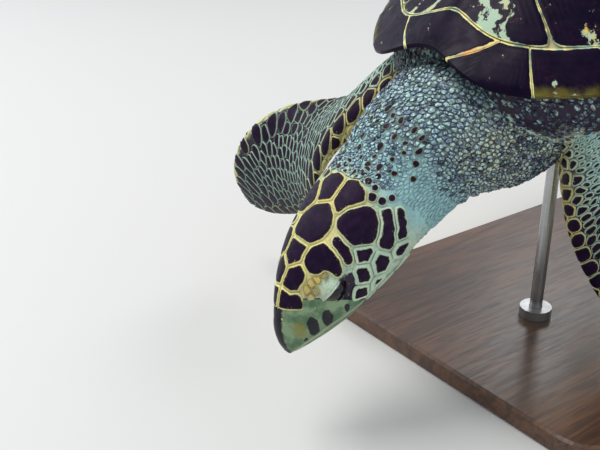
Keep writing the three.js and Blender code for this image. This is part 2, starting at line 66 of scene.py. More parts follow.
# distance behind the beak tip, top, underside, half width, squareness, roof slope
HEAD_STATIONS = np.array([
    [0, -29, -33, 1.5, 2.0, 0.0], [4, -15, -34, 7, 2.0, 0.1], [13, 1, -37, 14, 2.0, 0.25],
    [30, 17, -41, 23, 2.1, 0.40], [49, 29, -45, 32, 2.2, 0.38], [75, 38, -49, 43, 2.3, 0.28],
    [105, 44, -53, 52, 2.3, 0.18], [139, 45, -61, 57, 2.3, 0.10], [171, 45, -71, 58, 2.2, 0.05],
    [209, 43, -86, 60, 2.1, 0.0],
])
HEAD_LENGTH = 209.0
EYE_PLACE, EYE_RADIUS = np.array([29.5, 78.0, 3.0]), 15.5
MOUTH_LINE = np.array([[-12, -31.5], [6, -29], [20, -25], [48, -24.5], [84, -30], [140, -30]])
# share of the way, half width, above, below
NECK_STATIONS = np.array([
    [0, 100, 66, 90], [0.35, 88, 59, 107], [0.7, 72, 51, 103], [1, 60, 43, 86],
])
NECK_START, NECK_START_ANGLE = np.array([0.0, -235.0, -42.0]), math.radians(2)

# share of the length, leading half chord, trailing half chord, thickness
FRONT_PLANFORM = np.array([
    [0.00, 58, 56, 100], [0.15, 64, 54, 76], [0.30, 70, 56, 44], [0.45, 73, 62, 28],
    [0.60, 72, 68, 20], [0.75, 56, 70, 15], [0.88, 27, 62, 11], [0.96, 1, 50, 8], [1.00, -18, 43, 4],
])
REAR_PLANFORM = np.array([
    [0.00, 42, 42, 58], [0.20, 40, 42, 42], [0.40, 44, 48, 26], [0.60, 52, 58, 17],
    [0.80, 50, 56, 12], [0.93, 30, 36, 8], [1.00, 6, 10, 4],
])
# length, rings along it, size of its scales, planform, and share of the length and size of each claw
FRONT = dict(length=400, rows=121, scaling=1.0, planform=FRONT_PLANFORM, claws=((0.58, 17), (0.72, 11)))
REAR = dict(length=235, rows=81, scaling=0.8, planform=REAR_PLANFORM, claws=((0.66, 14), (0.8, 9)))
# side, root, spanwise and upper-face direction at the root and at the tip
FLIPPERS = {
    "front_right": SimpleNamespace(
        side=-1, root=(-111, -233, -52), span=((-0.44, -0.86, -0.27), (-0.56, 0.23, -0.8)),
        face=((-0.41, 0.02, 0.91), (0.1, -0.88, -0.46)), **FRONT),
    "front_left": SimpleNamespace(
        side=1, root=(114, -219, -54), span=((0.03, 0.12, -0.98), (0.44, 0.61, -0.66)),
        face=((0.85, -0.53, -0.05), (0.84, -0.53, 0.09)), **FRONT),
    "rear_left": SimpleNamespace(
        side=1, root=(120, 225, -48), span=((0.72, 0.62, -0.25), (0.45, 0.85, -0.3)),
        face=((0.1, 0.1, 1), (0.25, 0.1, 1)), **REAR),
    "rear_right": SimpleNamespace(
        side=-1, root=(-120, 225, -48), span=((-0.72, 0.62, -0.25), (-0.45, 0.85, -0.3)),
        face=((-0.1, 0.1, 1), (-0.25, 0.1, 1)), **REAR),
}
LEADING_EDGE = 0.515         # share of a flipper's girth, from its trailing edge over its upper face
FLIPPER_COLUMNS = 97
TAU = 2 * math.pi

# ---------------- arithmetic on whole arrays


def smooth(t):
    """Cubic step: 0 below 0, 1 above 1, flat at both ends."""
    t = np.clip(t, 0, 1)
    return t * t * (3 - 2 * t)


def ramp(x, start, width):
    """Smooth step of x from a start over a width; a width below 0 falls instead."""
    return smooth((x - start) / width)


def bell(x, middle, width):
    """Bell curve of height 1, exp(-((x - middle) / width) squared)."""
    return np.exp(-(((x - middle) / width) ** 2))


def mix(a, b, t):
    """From a to b as t runs from 0 to 1."""
    return a + (b - a) * t


def norm(v):
    """Lengths of vectors."""
    return np.linalg.norm(v, axis=-1)


def unit(v):
    """Vectors divided by their lengths."""
    return v / np.maximum(norm(v), 1e-12)[..., None]


def hermite(start, start_slope, end, end_slope, t):
    """Cubic from start to end with a slope at each, as t runs from 0 to 1."""
    return (start * (2 * t**3 - 3 * t**2 + 1) + start_slope * (t**3 - 2 * t**2 + t)
            + end * (3 * t**2 - 2 * t**3) + end_slope * (t**3 - t**2))


def along(table, x):
    """Cubic Hermite curve through a table's rows, slopes by central differences; one value per column."""
    x = np.asarray(x, float)
    keys, rows = table[:, 0], table[:, 1:]
    last = len(keys) - 1
    before, after = np.maximum(np.arange(last + 1) - 1, 0), np.minimum(np.arange(last + 1) + 1, last)
    slope = (rows[after] - rows[before]) / (keys[after] - keys[before])[:, None]
    i = np.clip(np.searchsorted(keys, x, side="right") - 1, 0, last - 1)
    span = (keys[i + 1] - keys[i])[..., None]
    t = np.clip((x - keys[i])[..., None] / span, 0, 1)
    return hermite(rows[i], slope[i] * span, rows[i + 1], slope[i + 1] * span, t)


def hashed(i, j, seed):
    """Repeatable random numbers from 0 to 1 for whole-number cells, by a sine hash."""
    v = np.sin(i * 127.1 + j * 311.7 + seed * 74.7) * 43758.5453
    return v - np.floor(v)


def cells(u, v, seed=0):
    """Cellular pattern of cell size 1: how much further the second nearest of the jittered points lies
    than the nearest, 0 on the lines between cells."""
    iu, iv = np.floor(u), np.floor(v)
    near = np.full(u.shape, 9.0)
    second = near
    for a in (-1, 0, 1):
        for b in (-1, 0, 1):
            ci, cj = iu + a, iv + b
            d = np.hypot(ci + 0.1 + 0.8 * hashed(ci, cj, seed) - u,
                         cj + 0.1 + 0.8 * hashed(ci, cj, seed + 5) - v)
            second = np.minimum(second, np.maximum(near, d))
            near = np.minimum(near, d)
    return second - near


def waves(u, v, seed=0, octaves=4):
    """Smooth noise of about unit feature size, value noise on a lattice, in halving octaves, from -1 to 1."""
    total, height = np.zeros(np.broadcast(u, v).shape), 1.0
    for k in range(octaves):
        x, y = u * 2**k + 17.3 * k, v * 2**k - 9.1 * k
        i, j = np.floor(x), np.floor(y)
        fx, fy = smooth(x - i), smooth(y - j)
        low = mix(hashed(i, j, seed), hashed(i + 1, j, seed), fx)
        high = mix(hashed(i, j + 1, seed), hashed(i + 1, j + 1, seed), fx)
        total += height * (2 * mix(low, high, fy) - 1)
        height *= 0.5
    return total / 1.9


def turned(points, angle):
    """Points turned about the X axis."""
    c, s = math.cos(angle), math.sin(angle)
    x, y, z = np.moveaxis(np.asarray(points, float), -1, 0)
    return np.stack([x, y * c - z * s, y * s + z * c], -1)


def placed(points):
    """Body millimetres to the row's metres: nose down by the body's pitch, then moved to its place."""
    return (turned(points, BODY_PITCH) + BODY_PLACE) / 1000


def headed(points):
    """Head millimetres (x, distance behind the tip, height) to body millimetres."""
    return turned(points, HEAD_PITCH) + HEAD_TIP


def unheaded(points):
    """Body millimetres back to the head's own frame."""
    return turned(points - HEAD_TIP, -HEAD_PITCH)


# ---------------- meshes


def put(name, data, place=Matrix()):
    """A new object in the scene."""
    thing = bpy.data.objects.new(name, data)
    thing.matrix_world = place
    bpy.context.scene.collection.objects.link(thing)
    return thing


def make_piece(name, points, faces, slot, material, replaced=(), layers=None, bake=None, pinned=()):
    """A mesh object from arrays. faces is a list of index arrays, each with 3 or 4 columns. layers are
    numbers per point, bake is a map per point; the faces listed as pinned, which lie hidden, take no
    room on it. A closed mesh found inside out is turned. What has no slot is no part of the body: its
    points are in metres already and its faces flat."""
    points = (placed(points) if slot else np.asarray(points, float)).reshape(-1, 3)
    corners = [f[:, [0, k, k + 1]] for f in faces for k in range(1, f.shape[1] - 1)]
    tris = np.concatenate(corners)
    a, b, c = (points[tris[:, k]] for k in range(3))
    if np.einsum("ij,ij->i", a, np.cross(b, c)).sum() < 0:
        faces = [f[:, ::-1] for f in faces]
    mesh = bpy.data.meshes.new(name)
    mesh.vertices.add(len(points))
    mesh.vertices.foreach_set("co", points.astype(np.float32).ravel())
    loops = np.concatenate([f.ravel() for f in faces]).astype(np.int32)
    sizes = np.concatenate([np.full(len(f), f.shape[1], np.int32) for f in faces])
    mesh.loops.add(len(loops))
    mesh.loops.foreach_set("vertex_index", loops)
    mesh.polygons.add(len(sizes))
    starts = np.concatenate([[0], np.cumsum(sizes)[:-1]]).astype(np.int32)
    mesh.polygons.foreach_set("loop_start", starts)
    if bake is not None:
        where = [np.repeat(f[:, :1], f.shape[1], 1) if k in pinned else f for k, f in enumerate(faces)]
        corner = bake.reshape(-1, 2)[np.concatenate([f.ravel() for f in where])]
        mesh.uv_layers.new(name="OFBake").data.foreach_set("uv", corner.astype(np.float32).ravel())
    for key, values in (layers or {}).items():
        layer = mesh.attributes.new(key, "FLOAT", "POINT")
        layer.data.foreach_set("value", np.ravel(values).astype(np.float32))
    mesh.update(calc_edges=True)
    mesh.validate()
    mesh.polygons.foreach_set("use_smooth", np.full(len(mesh.polygons), bool(slot)))
    mesh.materials.append(material)
    piece = put(name, mesh)
    if slot:
        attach(piece, "root")
    if replaced:
        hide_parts(*replaced)
    return piece


def grid_faces(rows, cols, wrap=False, start=0):
    """Four-cornered faces of a grid of rows by cols points, closed round its columns if wrap."""
    i, j = np.meshgrid(np.arange(rows - 1) * cols, np.arange(cols if wrap else cols - 1), indexing="ij")
    k = (j + 1) % cols
    return start + np.stack([i + j, i + k, i + cols + k, i + cols + j], -1).reshape(-1, 4)


def closed_loft(rings):
    """Rings (rows, cols, 3) skinned into a closed surface, each end fanned to its ring's middle."""
    rows, cols, _ = rings.shape
    points = np.concatenate([rings.reshape(-1, 3), rings[0].mean(0)[None], rings[-1].mean(0)[None]])
    j = np.arange(cols)
    k = (j + 1) % cols
    base = (rows - 1) * cols
    first = np.stack([np.full(cols, rows * cols), k, j], -1)
    final = np.stack([np.full(cols, rows * cols + 1), base + j, base + k], -1)
    return points, [grid_faces(rows, cols, True), first, final]


def slab_of(outer, inner):
    """Two matching grids closed into one solid sheet: outer face, inner face turned over, and the rim."""
    rows, cols, _ = outer.shape
    n = rows * cols
    points = np.concatenate([outer.reshape(-1, 3), inner.reshape(-1, 3)])
    index = np.arange(n).reshape(rows, cols)
    loop = np.concatenate([index[0, :-1], index[:-1, -1], index[-1, :0:-1], index[:0:-1, 0]])
    follow = np.roll(loop, -1)
    rim = np.stack([loop, loop + n, follow + n, follow], -1)
    return points, [grid_faces(rows, cols), grid_faces(rows, cols, start=n)[:, ::-1], rim]


def ring_normals(grid):
    """Unit normals of a grid whose last column repeats its first, from central differences both ways."""
    open_grid = grid[:, :-1]
    across = np.roll(open_grid, -1, 1) - np.roll(open_grid, 1, 1)
    normal = unit(np.cross(across, np.gradient(open_grid, axis=0)))
    return np.concatenate([normal, normal[:, :1]], 1)


def sheet_normals(grid):
    """Unit normals of an open grid of points, from differences along both ways."""
    return unit(np.cross(np.gradient(grid, axis=1), np.gradient(grid, axis=0)))


# ---------------- surfaces of the body


def section(angle, top, bottom, half, squareness, roof):
    """Superellipse round the angle, 0 at the top: sine and cosine raised to 2/squareness; the roof
    slope draws the upper half in. Returns sideways and upward places."""
    power = 2 / squareness
    c = np.sign(np.cos(angle)) * np.abs(np.cos(angle)) ** power
    s = np.sign(np.sin(angle)) * np.abs(np.sin(angle)) ** power
    return half * s * (1 - roof * np.cos(angle)), (top + bottom) / 2 + (top - bottom) / 2 * c


def head_point(back, angle):
    """Head in its own frame: the stations' section, plus a brow ridge over the eye and a full cheek."""
    top, bottom, half, squareness, roof = np.moveaxis(along(HEAD_STATIONS, back), -1, 0)
    x, z = section(angle, top, bottom, half, squareness, roof)
    sideways = np.sign(x) * np.abs(np.sin(angle)) ** 2
    brow = 3.5 * bell(back, 64, 20) * bell(z, 27, 8)
    cheek = 3 * bell(back, 128, 32) * bell(z, -12, 24)
    return np.stack([x + sideways * (brow + cheek), back + 0 * x, z], -1)


def neck_point(t, angle):
    """Neck in the body's frame: t runs from the shoulders (0) to the head (1) along a cubic Hermite
    axis; the section turns with it."""
    half, up, down = np.moveaxis(along(NECK_STATIONS, t), -1, 0)
    x, z = section(angle, up, -down, half, 2.1, 0)
    start, end = NECK_START, headed([0.0, HEAD_LENGTH, 0.0])
    reach = norm(end - start)
    heading = [np.array([0, -math.cos(a), -math.sin(a)]) * reach for a in (NECK_START_ANGLE, HEAD_PITCH)]
    axis = hermite(start, heading[0], end, heading[1], t[..., None])
    turn = mix(NECK_START_ANGLE, HEAD_PITCH, smooth(t))
    upward = np.stack([0 * turn, -np.sin(turn), np.cos(turn)], -1)
    return axis + upward * z[..., None] + np.stack([x, 0 * x, 0 * x], -1)


def eye_axes(side):
    """Outward axis of an eye and its two axes in the plane of the lids, along and across the slit."""
    out = unit(np.array([side * 1.0, -0.27, 0.2]))
    lengthwise = np.array([0, math.cos(0.06), math.sin(0.06)])
    lengthwise = unit(lengthwise - out * (lengthwise @ out))
    upward = np.cross(out, lengthwise) * -side
    return out, lengthwise, upward * np.sign(upward[2])


EYE_SLIT = (14.2, 4.2, 8.8)    # half length, height above and below the slit's axis


def lid_measure(local, side):
    """How far a head point lies from the slit's middle, 1 on its rim, with its plane coordinates and
    its height along the eye's outward axis."""
    out, lengthwise, upward = eye_axes(side)
    q = local - EYE_PLACE * [side, 1, 1]
    u, v, w = q @ lengthwise, q @ upward, q @ out
    half, above, below = EYE_SLIT
    measure = (np.abs(u / half) ** 1.8 + np.abs(v / np.where(v > 0, above, below)) ** 1.8) ** (1 / 1.8)
    return measure, u, v, w


def with_lids(local):
    """Head points drawn over the eyeballs: inside the slit they sink behind the ball; round it the lids
    are a smooth maximum of the head and a dome over the ball, with a rolled rim and fine folds."""
    local = local.copy()
    for side in (1, -1):
        m, u, v, w = lid_measure(local, side)
        out = eye_axes(side)[0]
        r = np.hypot(u, v)
        upper = ramp(v, -3, 6)
        lid = mix(0.9, 1.5, upper) + mix(0.5, 1.1, upper) * bell(m, 1.22, 0.14)
        dome = EYE_RADIUS + lid
        inner = np.minimum(r, 0.9 * dome)
        dome = np.sqrt(dome**2 - inner**2) - 2.06 * (r - inner)
        lifted = w + 1.6 * np.logaddexp(0, (dome - w) / 1.6)
        wrinkle = np.sin(m * 11 + 0.25 * u + 2.2 * waves(u / 6, v / 6, 13))
        lifted += 0.42 * wrinkle * bell(m, 1.95, 0.55) * ramp(m, 1.3, 0.3)
        ball = np.sqrt(np.maximum(EYE_RADIUS**2 - r**2, 0))
        sunk = mix(ball - 3.5, lifted, ramp(m, 0.9, 0.14))
        near = (w > -17) & (r < EYE_RADIUS * 2.4) & (local[..., 0] * side > 0)
        local += np.where(near, sunk - w, 0)[..., None] * out
    return local


def resampled(ring_points, cols, weight=None):
    """Rings redrawn with their points evenly spaced along the girth, or by a weight over its share.
    The first and last column meet at the underside. Returns rings and girths."""
    step = norm(np.diff(ring_points, axis=1))
    run = np.concatenate([np.zeros((len(step), 1)), np.cumsum(step, 1)], 1)
    girth = run[:, -1]
    share = np.linspace(0, 1, cols) if weight is None else weight
    out = np.empty((len(ring_points), cols, 3))
    for i, row in enumerate(run):
        for k in range(3):
            out[i, :, k] = np.interp(share * girth[i], row, ring_points[i, :, k])
    return out, girth


def crowded(cols, places, pull, width):
    """Shares from 0 to 1 in cols steps, closer together round the given places."""
    x = np.linspace(0, 1, 4001)
    density = 1 + sum(pull * bell(x, place, width) for place in places)
    total = np.concatenate([[0], np.cumsum((density[1:] + density[:-1]) / 2)])
    return np.interp(np.linspace(0, 1, cols), total / total[-1], x)


HEAD_END = 205.0


def throat_rows():
    """Stations of head and neck as one run of millimetres from the beak's tip, finer round the eyes,
    with each station's share of the neck (above 1 on the head)."""
    head = np.concatenate([[0.3, 1.5, 3, 5, 7.5], np.arange(10, 50, 2.0), np.arange(51, 104, 0.8),
                           np.arange(105, HEAD_END, 2.1)])
    neck = np.linspace(1, 0, 112)[1:]
    middle = neck_point(np.linspace(1, 0, 400), np.full(400, math.pi / 2))
    length = norm(np.diff(middle - middle[:, :1] * [1, 0, 0], axis=0)).sum()
    run = np.concatenate([head, HEAD_LENGTH + (1 - neck) * length])
    return run, head, neck


def build_throat(cols):
    """Head and neck as one tube: a grid of rings from the beak's tip to the shoulders, from the
    underside round over the top. Lids, throat folds and crumpled skin are pushed along the normals."""
    run, head, neck = throat_rows()
    angle = np.linspace(-math.pi, math.pi, 721)
    rings = np.concatenate([
        head_point(head[:, None], angle[None]),
        neck_point(neck[:, None], angle[None]),
    ])
    share = crowded(cols, (0.295, 0.705), 2.2, 0.06)
    grid, girth = resampled(rings, cols, share)
    count = len(head)
    grid[:count] = headed(with_lids(grid[:count]))
    normal = ring_normals(grid)
    s, q = run[:, None] + 0 * share[None], (share[None] - 0.5) * girth[:, None]
    under = ramp(np.abs(share - 0.5)[None], 0.22, 0.2)
    on_neck = ramp(s, 186, 40)
    warp = 9 * waves(s / 40, q / 40, 3)
    fold = np.sin((s + 0.16 * np.abs(q) + warp) / 3.6) * on_neck
    lift = fold * mix(0.5, 1.5, under) * ramp(s, 200, 60)
    bend = bell(s, 232, 16) * under
    lift -= 2.5 * bend * (0.5 + 0.5 * np.sin((s + warp) / 2.9))
    lift += on_neck * 1.6 * waves(s / 26, q / 22, 8)
    gap = cells(s / 11 + 0.35 * waves(s / 15, q / 15, 4), q / 9 + 0.35 * waves(s / 13, q / 13, 5), 2)
    lift += on_neck * (0.9 * smooth(gap / 0.5) - 0.6)
    lift[:count] *= ramp(s[:count], 168, 30)
    lift *= ramp(np.abs(share - 0.5), 0.5, -0.03)
    grid = grid + normal * lift[..., None]
    return SimpleNamespace(run=run, share=share, girth=girth, points=grid, normals=ring_normals(grid))


def flipper_frame(limb, share):
    """Place, spanwise direction and upper-face direction along a flipper. The direction eases from the
    root's to the tip's, and the axis is its running sum."""
    d0, d1 = (unit(np.array(v, float)) for v in limb.span)
    n0, n1 = (unit(np.array(v, float)) for v in limb.face)
    fine = (np.arange(800) + 0.5) / 800
    heading = unit(mix(d0, d1, smooth(fine)[:, None]))
    trail = np.concatenate([np.zeros((1, 3)), np.cumsum(heading, 0)]) * limb.length / 800
    knots = np.linspace(0, 1, 801)
    at = np.stack([np.interp(share, knots, trail[:, k]) for k in range(3)], -1) + limb.root
    e = smooth(share)[..., None]
    span = unit(mix(d0, d1, e))
    face = mix(n0, n1, e)
    face = unit(face - span * np.sum(face * span, -1, keepdims=True))
    return at, span, face


def flipper_point(limb, share, angle):
    """Blade section at a share of the length: across is the cosine over the chord, 1 at the trailing
    edge, lift the sine, thicker towards the leading edge. The last stretch rounds the tip."""
    lead, trail, thick = np.moveaxis(along(limb.planform, share), -1, 0)
    at, span, face = flipper_frame(limb, share)
    chord = np.cross(face, span) * limb.side
    u = np.cos(angle)
    taper = np.sqrt(np.clip(1 - ramp(share, 0.94, 0.066) * 0.93, 0, 1))
    across = (trail - lead) / 2 + (trail + lead) / 2 * u * taper
    lift = 0.62 * thick * (0.62 - 0.38 * u) * np.sin(angle) * np.sqrt(taper)
    return at + chord * across[..., None] + face * lift[..., None]


def build_flipper(limb):
    """A flipper as a tube of rings: columns run from the trailing edge over the upper face to the
    leading edge and back below, the rings closer together towards the tip."""
    along_it = 1 - (1 - np.linspace(0, 1, limb.rows)) ** 1.25
    rings = flipper_point(limb, along_it[:, None], np.linspace(0, TAU, 721)[None])
    grid, girth = resampled(rings, FLIPPER_COLUMNS)
    return SimpleNamespace(run=along_it * limb.length, share=np.linspace(0, 1, FLIPPER_COLUMNS), girth=girth,
                           points=grid, normals=ring_normals(grid) * limb.side)


def girth_at(surface, run):
    """Length once round a tube at a run along it, read between its rings."""
    return np.interp(run, surface.run, surface.girth)


def on_surface(surface, run, share):
    """Point, normal and girth of a built tube at a run along it and a share of its girth, bilinear."""
    rows, cols = len(surface.run), len(surface.share)
    share = share % 1.0
    i = np.clip(np.interp(run, surface.run, np.arange(rows)), 0, rows - 1.001)
    j = np.clip(np.interp(share, surface.share, np.arange(cols)), 0, cols - 1.001)
    a, b = i.astype(int), j.astype(int)
    fi, fj = (i - a)[..., None], (j - b)[..., None]
    point, normal = (mix(mix(g[a, b], g[a, b + 1], fj), mix(g[a + 1, b], g[a + 1, b + 1], fj), fi)
                     for g in (surface.points, surface.normals))
    return point, unit(normal)


def margin_point(phi):
    """Margin of the shell round the angle from its front: an ellipse drawn in to both ends, notched
    and arched over the neck, lifted a little at the tail."""
    c, angle = np.cos(phi), np.abs(phi)
    taper = np.where(c > 0, 0.15, 0.18)
    sweep = np.where(c > 0, c * (1 - 0.2 * (1 - c)), c)
    return np.stack([
        SHELL_HALF_WIDTH * np.sin(phi) * (1 - taper * c * c),
        -SHELL_HALF_LENGTH * sweep + 24 * bell(angle, 0, 0.2),
        34 * bell(angle, 0, 0.28) + 8 * bell(angle, math.pi, 0.5),
    ], -1)


def tooth(phi):
    """Saw tooth of the margin: it grows through each scute and drops at the seam behind it."""
    angle = np.abs(phi)
    k = np.clip(np.searchsorted(BORDERS, angle - 1e-9), 1, len(BORDERS) - 1)
    part = (angle - BORDERS[k - 1]) / (BORDERS[k] - BORDERS[k - 1])
    return 0.035 * ramp(angle, 1.2, 1.2) * (np.clip(part, 0, 1) ** 1.5 - 0.3)


def shell_point(rho, phi, serrated=True):
    """Outer face of the shell: rho runs from the crown (0) to the margin (1); the height falls as a
    bowl mixed with a cosine, with a low keel along the middle."""
    edge = margin_point(phi)
    fall = 0.8 * (1 - rho**2.1) + 0.2 * (1 + np.cos(math.pi * rho)) / 2
    reach = rho * (1 + (tooth(phi) * ramp(rho, 0.85, 0.15) if serrated else 0))
    keel = 5 * bell(rho * edge[..., 0], 0, 16) * ramp(rho, 1, -0.2)
    return np.stack([
        reach * edge[..., 0],
        CROWN_Y + reach * (edge[..., 1] - CROWN_Y),
        edge[..., 2] * rho**3 + SHELL_HEIGHT * fall + keel,
    ], -1)


def shell_inside(rho, phi, below=0.0):
    """Inner face: the outer one lowered by 5 mm at the rim, easing to 15 mm."""
    p = shell_point(rho, phi, False)
    p[..., 2] -= 5 + 10 * ramp(rho, 1, -0.16) + below
    return p


def plan_polar(x, y, middle, edge_of, steps=12, pace=1.0):
    """Radius share and angle of plan places about a middle, by stepping the angle until the direction of
    the edge there fits the place's."""
    target = np.arctan2(x, middle - y)
    phi = target.copy()
    for _ in range(steps):
        phi = phi + pace * ((target - np.arctan2(*edge_of(phi)) + math.pi) % TAU - math.pi)
    phi = (phi + math.pi) % TAU - math.pi
    return np.hypot(x, y - middle) / np.hypot(*edge_of(phi)), phi


def shell_polar(x, y):
    """The shell's radius share and angle under a plan place."""
    def edge_of(phi):
        edge = margin_point(phi)
        return edge[..., 0], CROWN_Y - edge[..., 1]
    return plan_polar(x, y, CROWN_Y, edge_of)


def bridge_share(phi):
    """1 along the bridges at mid-length, 0 before and behind them."""
    return np.exp(-(((np.abs(phi) - 1.5) / 0.62) ** 4))


def belly_edge(phi):
    """How far the belly shell reaches sideways and ahead at an angle from its front."""
    return np.sin(phi) * (172 + 84 * bridge_share(phi)), 284 * np.cos(phi)


def belly_polar(x, y):
    """Radius share and angle of a plan place on the belly."""
    return plan_polar(x, y, BELLY_Y, belly_edge, 14, 0.8)


def plastron_point(rho, phi, lift=0.0):
    """Underside of the belly shell: flat in the middle, its edge turned up, and bridges that rise at
    mid-length to meet the carapace."""
    bridge = bridge_share(phi)
    side, ahead = belly_edge(phi)
    rise = 20 * (1 - bridge) * ramp(rho, 0.6, 0.5) + 94 * bridge * ramp(rho, 0.55, 0.62) * 1.18
    return np.stack([rho * side, BELLY_Y - rho * ahead, -98 + rise + lift], -1)


def trunk_rings(rows, cols):
    """Flesh between the two shells: control rings from under the crown, round the shoulders, down to
    the belly, joined by a cubic through them."""
    phi = np.linspace(-math.pi, math.pi, cols, endpoint=False)
    pinch = 1 - 0.3 * bridge_share(phi)
    rings = [shell_inside(r + 0 * phi, phi, below)
             for r, below in ((0.3, 25), (0.6, 14), (0.83, 6), (0.9, 2))]
    for z, r in ((-22, 0.93), (-44, 0.905), (-64, 0.855), (-84, 0.75)):
        p = shell_point(r * pinch, phi, False)
        p[:, 2] = z
        rings.append(p)
    rings += [plastron_point(r + 0 * phi, phi, 4.0) for r in (0.55, 0.1)]
    table = np.concatenate([np.arange(len(rings))[:, None], np.array(rings).reshape(len(rings), -1)], 1)
    return along(table, np.linspace(0, len(rings) - 1.0001, rows)).reshape(rows, cols, 3)


def tail_rings(rows, cols):
    """Short blunt cone, drooping with the square of its length."""
    t = np.linspace(0, 0.995, rows)[:, None]
    a = np.linspace(0, TAU, cols, endpoint=False)[None]
    radius = mix(30, 7, t) * np.sqrt(1 - 0.8 * t**6) - 0.6
    return np.stack([1.15 * radius * np.sin(a), 300 + 92 * t + 0 * a,
                     -42 - 12 * t * t + 0.8 * radius * np.cos(a)], -1)


# ---------------- scales


CLEAR = 0.86       # least distance of two scales' middles, as a share of their mean diameter


def seeds_on(surface, size_at, lowest, highest, seed, first=(), tries=30000):
    """Evenly irregular places for scales, by trying random ones and keeping those clear of the rest.
    size_at gives diameter, stretch and tilt of a scale at a run and share; a diameter of 0 refuses.
    Returns run, share, diameter, stretch, tilt."""
    rng = np.random.default_rng(seed)
    kept = np.zeros((0, 5))
    for run, share in first:
        kept = np.concatenate([kept, [[run, share, *size_at(np.array([run]), np.array([share]))[:, 0]]]])
    for _ in range(tries // 500):
        run = rng.uniform(lowest, highest, 500)
        share = rng.uniform(0, 1, 500)
        trial = np.concatenate([[run, share], size_at(run, share)]).T
        trial = trial[trial[:, 2] > 0]
        trial = trial[spread(trial, kept, surface).min(1, initial=9) > CLEAR]
        apart = spread(trial, trial, surface)
        fresh = []
        for k in range(len(trial)):
            if not fresh or apart[k, fresh].min() > CLEAR:
                fresh.append(k)
        kept = np.concatenate([kept, trial[fresh]])
    return kept


def even_offsets(run, share, others_run, others_share, girth, stretch, tilt):
    """Offsets between places, in the frame where a scale is as long as wide: turned by its tilt, then
    divided along and multiplied across by its stretch."""
    along_run = others_run - run
    across = ((others_share - share + 0.5) % 1.0 - 0.5) * girth
    c, s = np.cos(tilt), np.sin(tilt)
    return (along_run * c + across * s) / stretch, (-along_run * s + across * c) * stretch


def spread(trial, kept, surface):
    """Distance of each trial scale from each kept one, as a share of their mean diameter."""
    girth = girth_at(surface, trial[:, :1])
    a, b = even_offsets(trial[:, :1], trial[:, 1:2], kept[None, :, 0], kept[None, :, 1], girth,
                        trial[:, 3:4], trial[:, 4:5])
    return np.hypot(a, b) / (0.5 * (trial[:, 2:3] + kept[None, :, 2]))


def cell_outlines(surface, seeds, spokes, neighbours=16, sharpness=9.0):
    """Outline of each scale's cell: along every spoke the nearest power bisector with a neighbour,
    softened at the corners. Returns offsets in run and share, (scales, spokes, 2)."""
    n = len(seeds)
    run, share, size, stretch, tilt = seeds.T
    girth = girth_at(surface, run)
    beta = np.linspace(0, TAU, spokes, endpoint=False)
    ray = np.stack([np.cos(beta), np.sin(beta)])
    reach = np.empty((n, spokes))
    for low in range(0, n, 400):
        i = np.arange(low, min(n, low + 400))
        a, b = even_offsets(run[i, None], share[i, None], run[None], share[None], girth[i, None],
                            stretch[i, None], tilt[i, None])
        d2 = a * a + b * b
        d2[np.arange(len(i)), i] = 1e12
        near = np.argpartition(d2, min(neighbours, n - 1) - 1, axis=1)[:, :neighbours]
        pick = np.arange(len(i))[:, None]
        a, b, d2 = a[pick, near], b[pick, near], d2[pick, near]
        lean = (size[i, None] ** 2 - size[near] ** 2) / 4
        facing = a[..., None] * ray[0] + b[..., None] * ray[1]
        bound = np.where(facing > 1e-3, (d2 + lean)[..., None] / (2 * np.maximum(facing, 1e-3)), 1e3)
        reach[i] = (np.maximum(bound, 0.2) ** -sharpness).sum(1) ** (-1 / sharpness)
    reach = np.minimum(reach, 0.75 * size[:, None])
    even = reach[..., None] * ray.T[None]
    c, s = np.cos(tilt)[:, None], np.sin(tilt)[:, None]
    first, second = even[..., 0] * stretch[:, None], even[..., 1] / stretch[:, None]
    return np.stack([first * c - second * s, (first * s + second * c) / girth[:, None]], -1)


def grouped_outlines(groups, spokes, inside, grown=3.0, step=0.4, longest=90.0, soften=1.2):
    """Outlines of large scutes on a flat plan. Each group is a list of circles (two coordinates and a
    radius) that make one scute; a place belongs to the group whose circle it lies deepest in, by squared
    distance less squared radius, while within grown of the circles and inside the allowed region. Rays
    are walked from each group's middle until they leave it, and their lengths rounded off round the
    scute by a bell. Returns middles (n, 2) and offsets (n, spokes, 2)."""
    circles = np.array([c for group in groups for c in group], float)
    owner = np.array([k for k, group in enumerate(groups) for _ in group])
    weight = circles[:, 2] ** 2
    middle = np.array([np.average(np.array(group)[:, :2], axis=0, weights=np.array(group)[:, 2] ** 2)
                       for group in groups])
    beta = np.linspace(0, TAU, spokes, endpoint=False)
    ray = np.stack([np.cos(beta), np.sin(beta)], -1)
    limit = np.broadcast_to(grown, (len(groups),))[:, None]
    reach = np.zeros((len(groups), spokes))
    walking = np.ones((len(groups), spokes), bool)
    for k in range(1, int(longest / step)):
        p = middle[:, None] + ray * (k * step)
        depth = ((p[:, :, None] - circles[:, :2]) ** 2).sum(-1)
        power = depth - weight
        own = owner[None] == np.arange(len(groups))[:, None]
        mine = np.where(own[:, None], power, 1e9).min(-1)
        rest = np.where(own[:, None], 1e9, power).min(-1)
        close = np.where(own[:, None], np.sqrt(depth) - circles[:, 2], 1e9).min(-1) < limit
        walking &= (mine < rest) & close & inside(p[..., 0], p[..., 1])
        reach = np.where(walking, k * step, reach)
        if not walking.any():
            break
    turn = np.minimum(np.arange(spokes), spokes - np.arange(spokes))
    kernel = bell(turn, 0, soften)
    blend = np.fft.ifft(np.fft.fft(kernel / kernel.sum()) * np.fft.fft(reach, axis=1), axis=1).real
    return middle, (np.minimum(blend, reach + 0.4)[..., None]) * ray


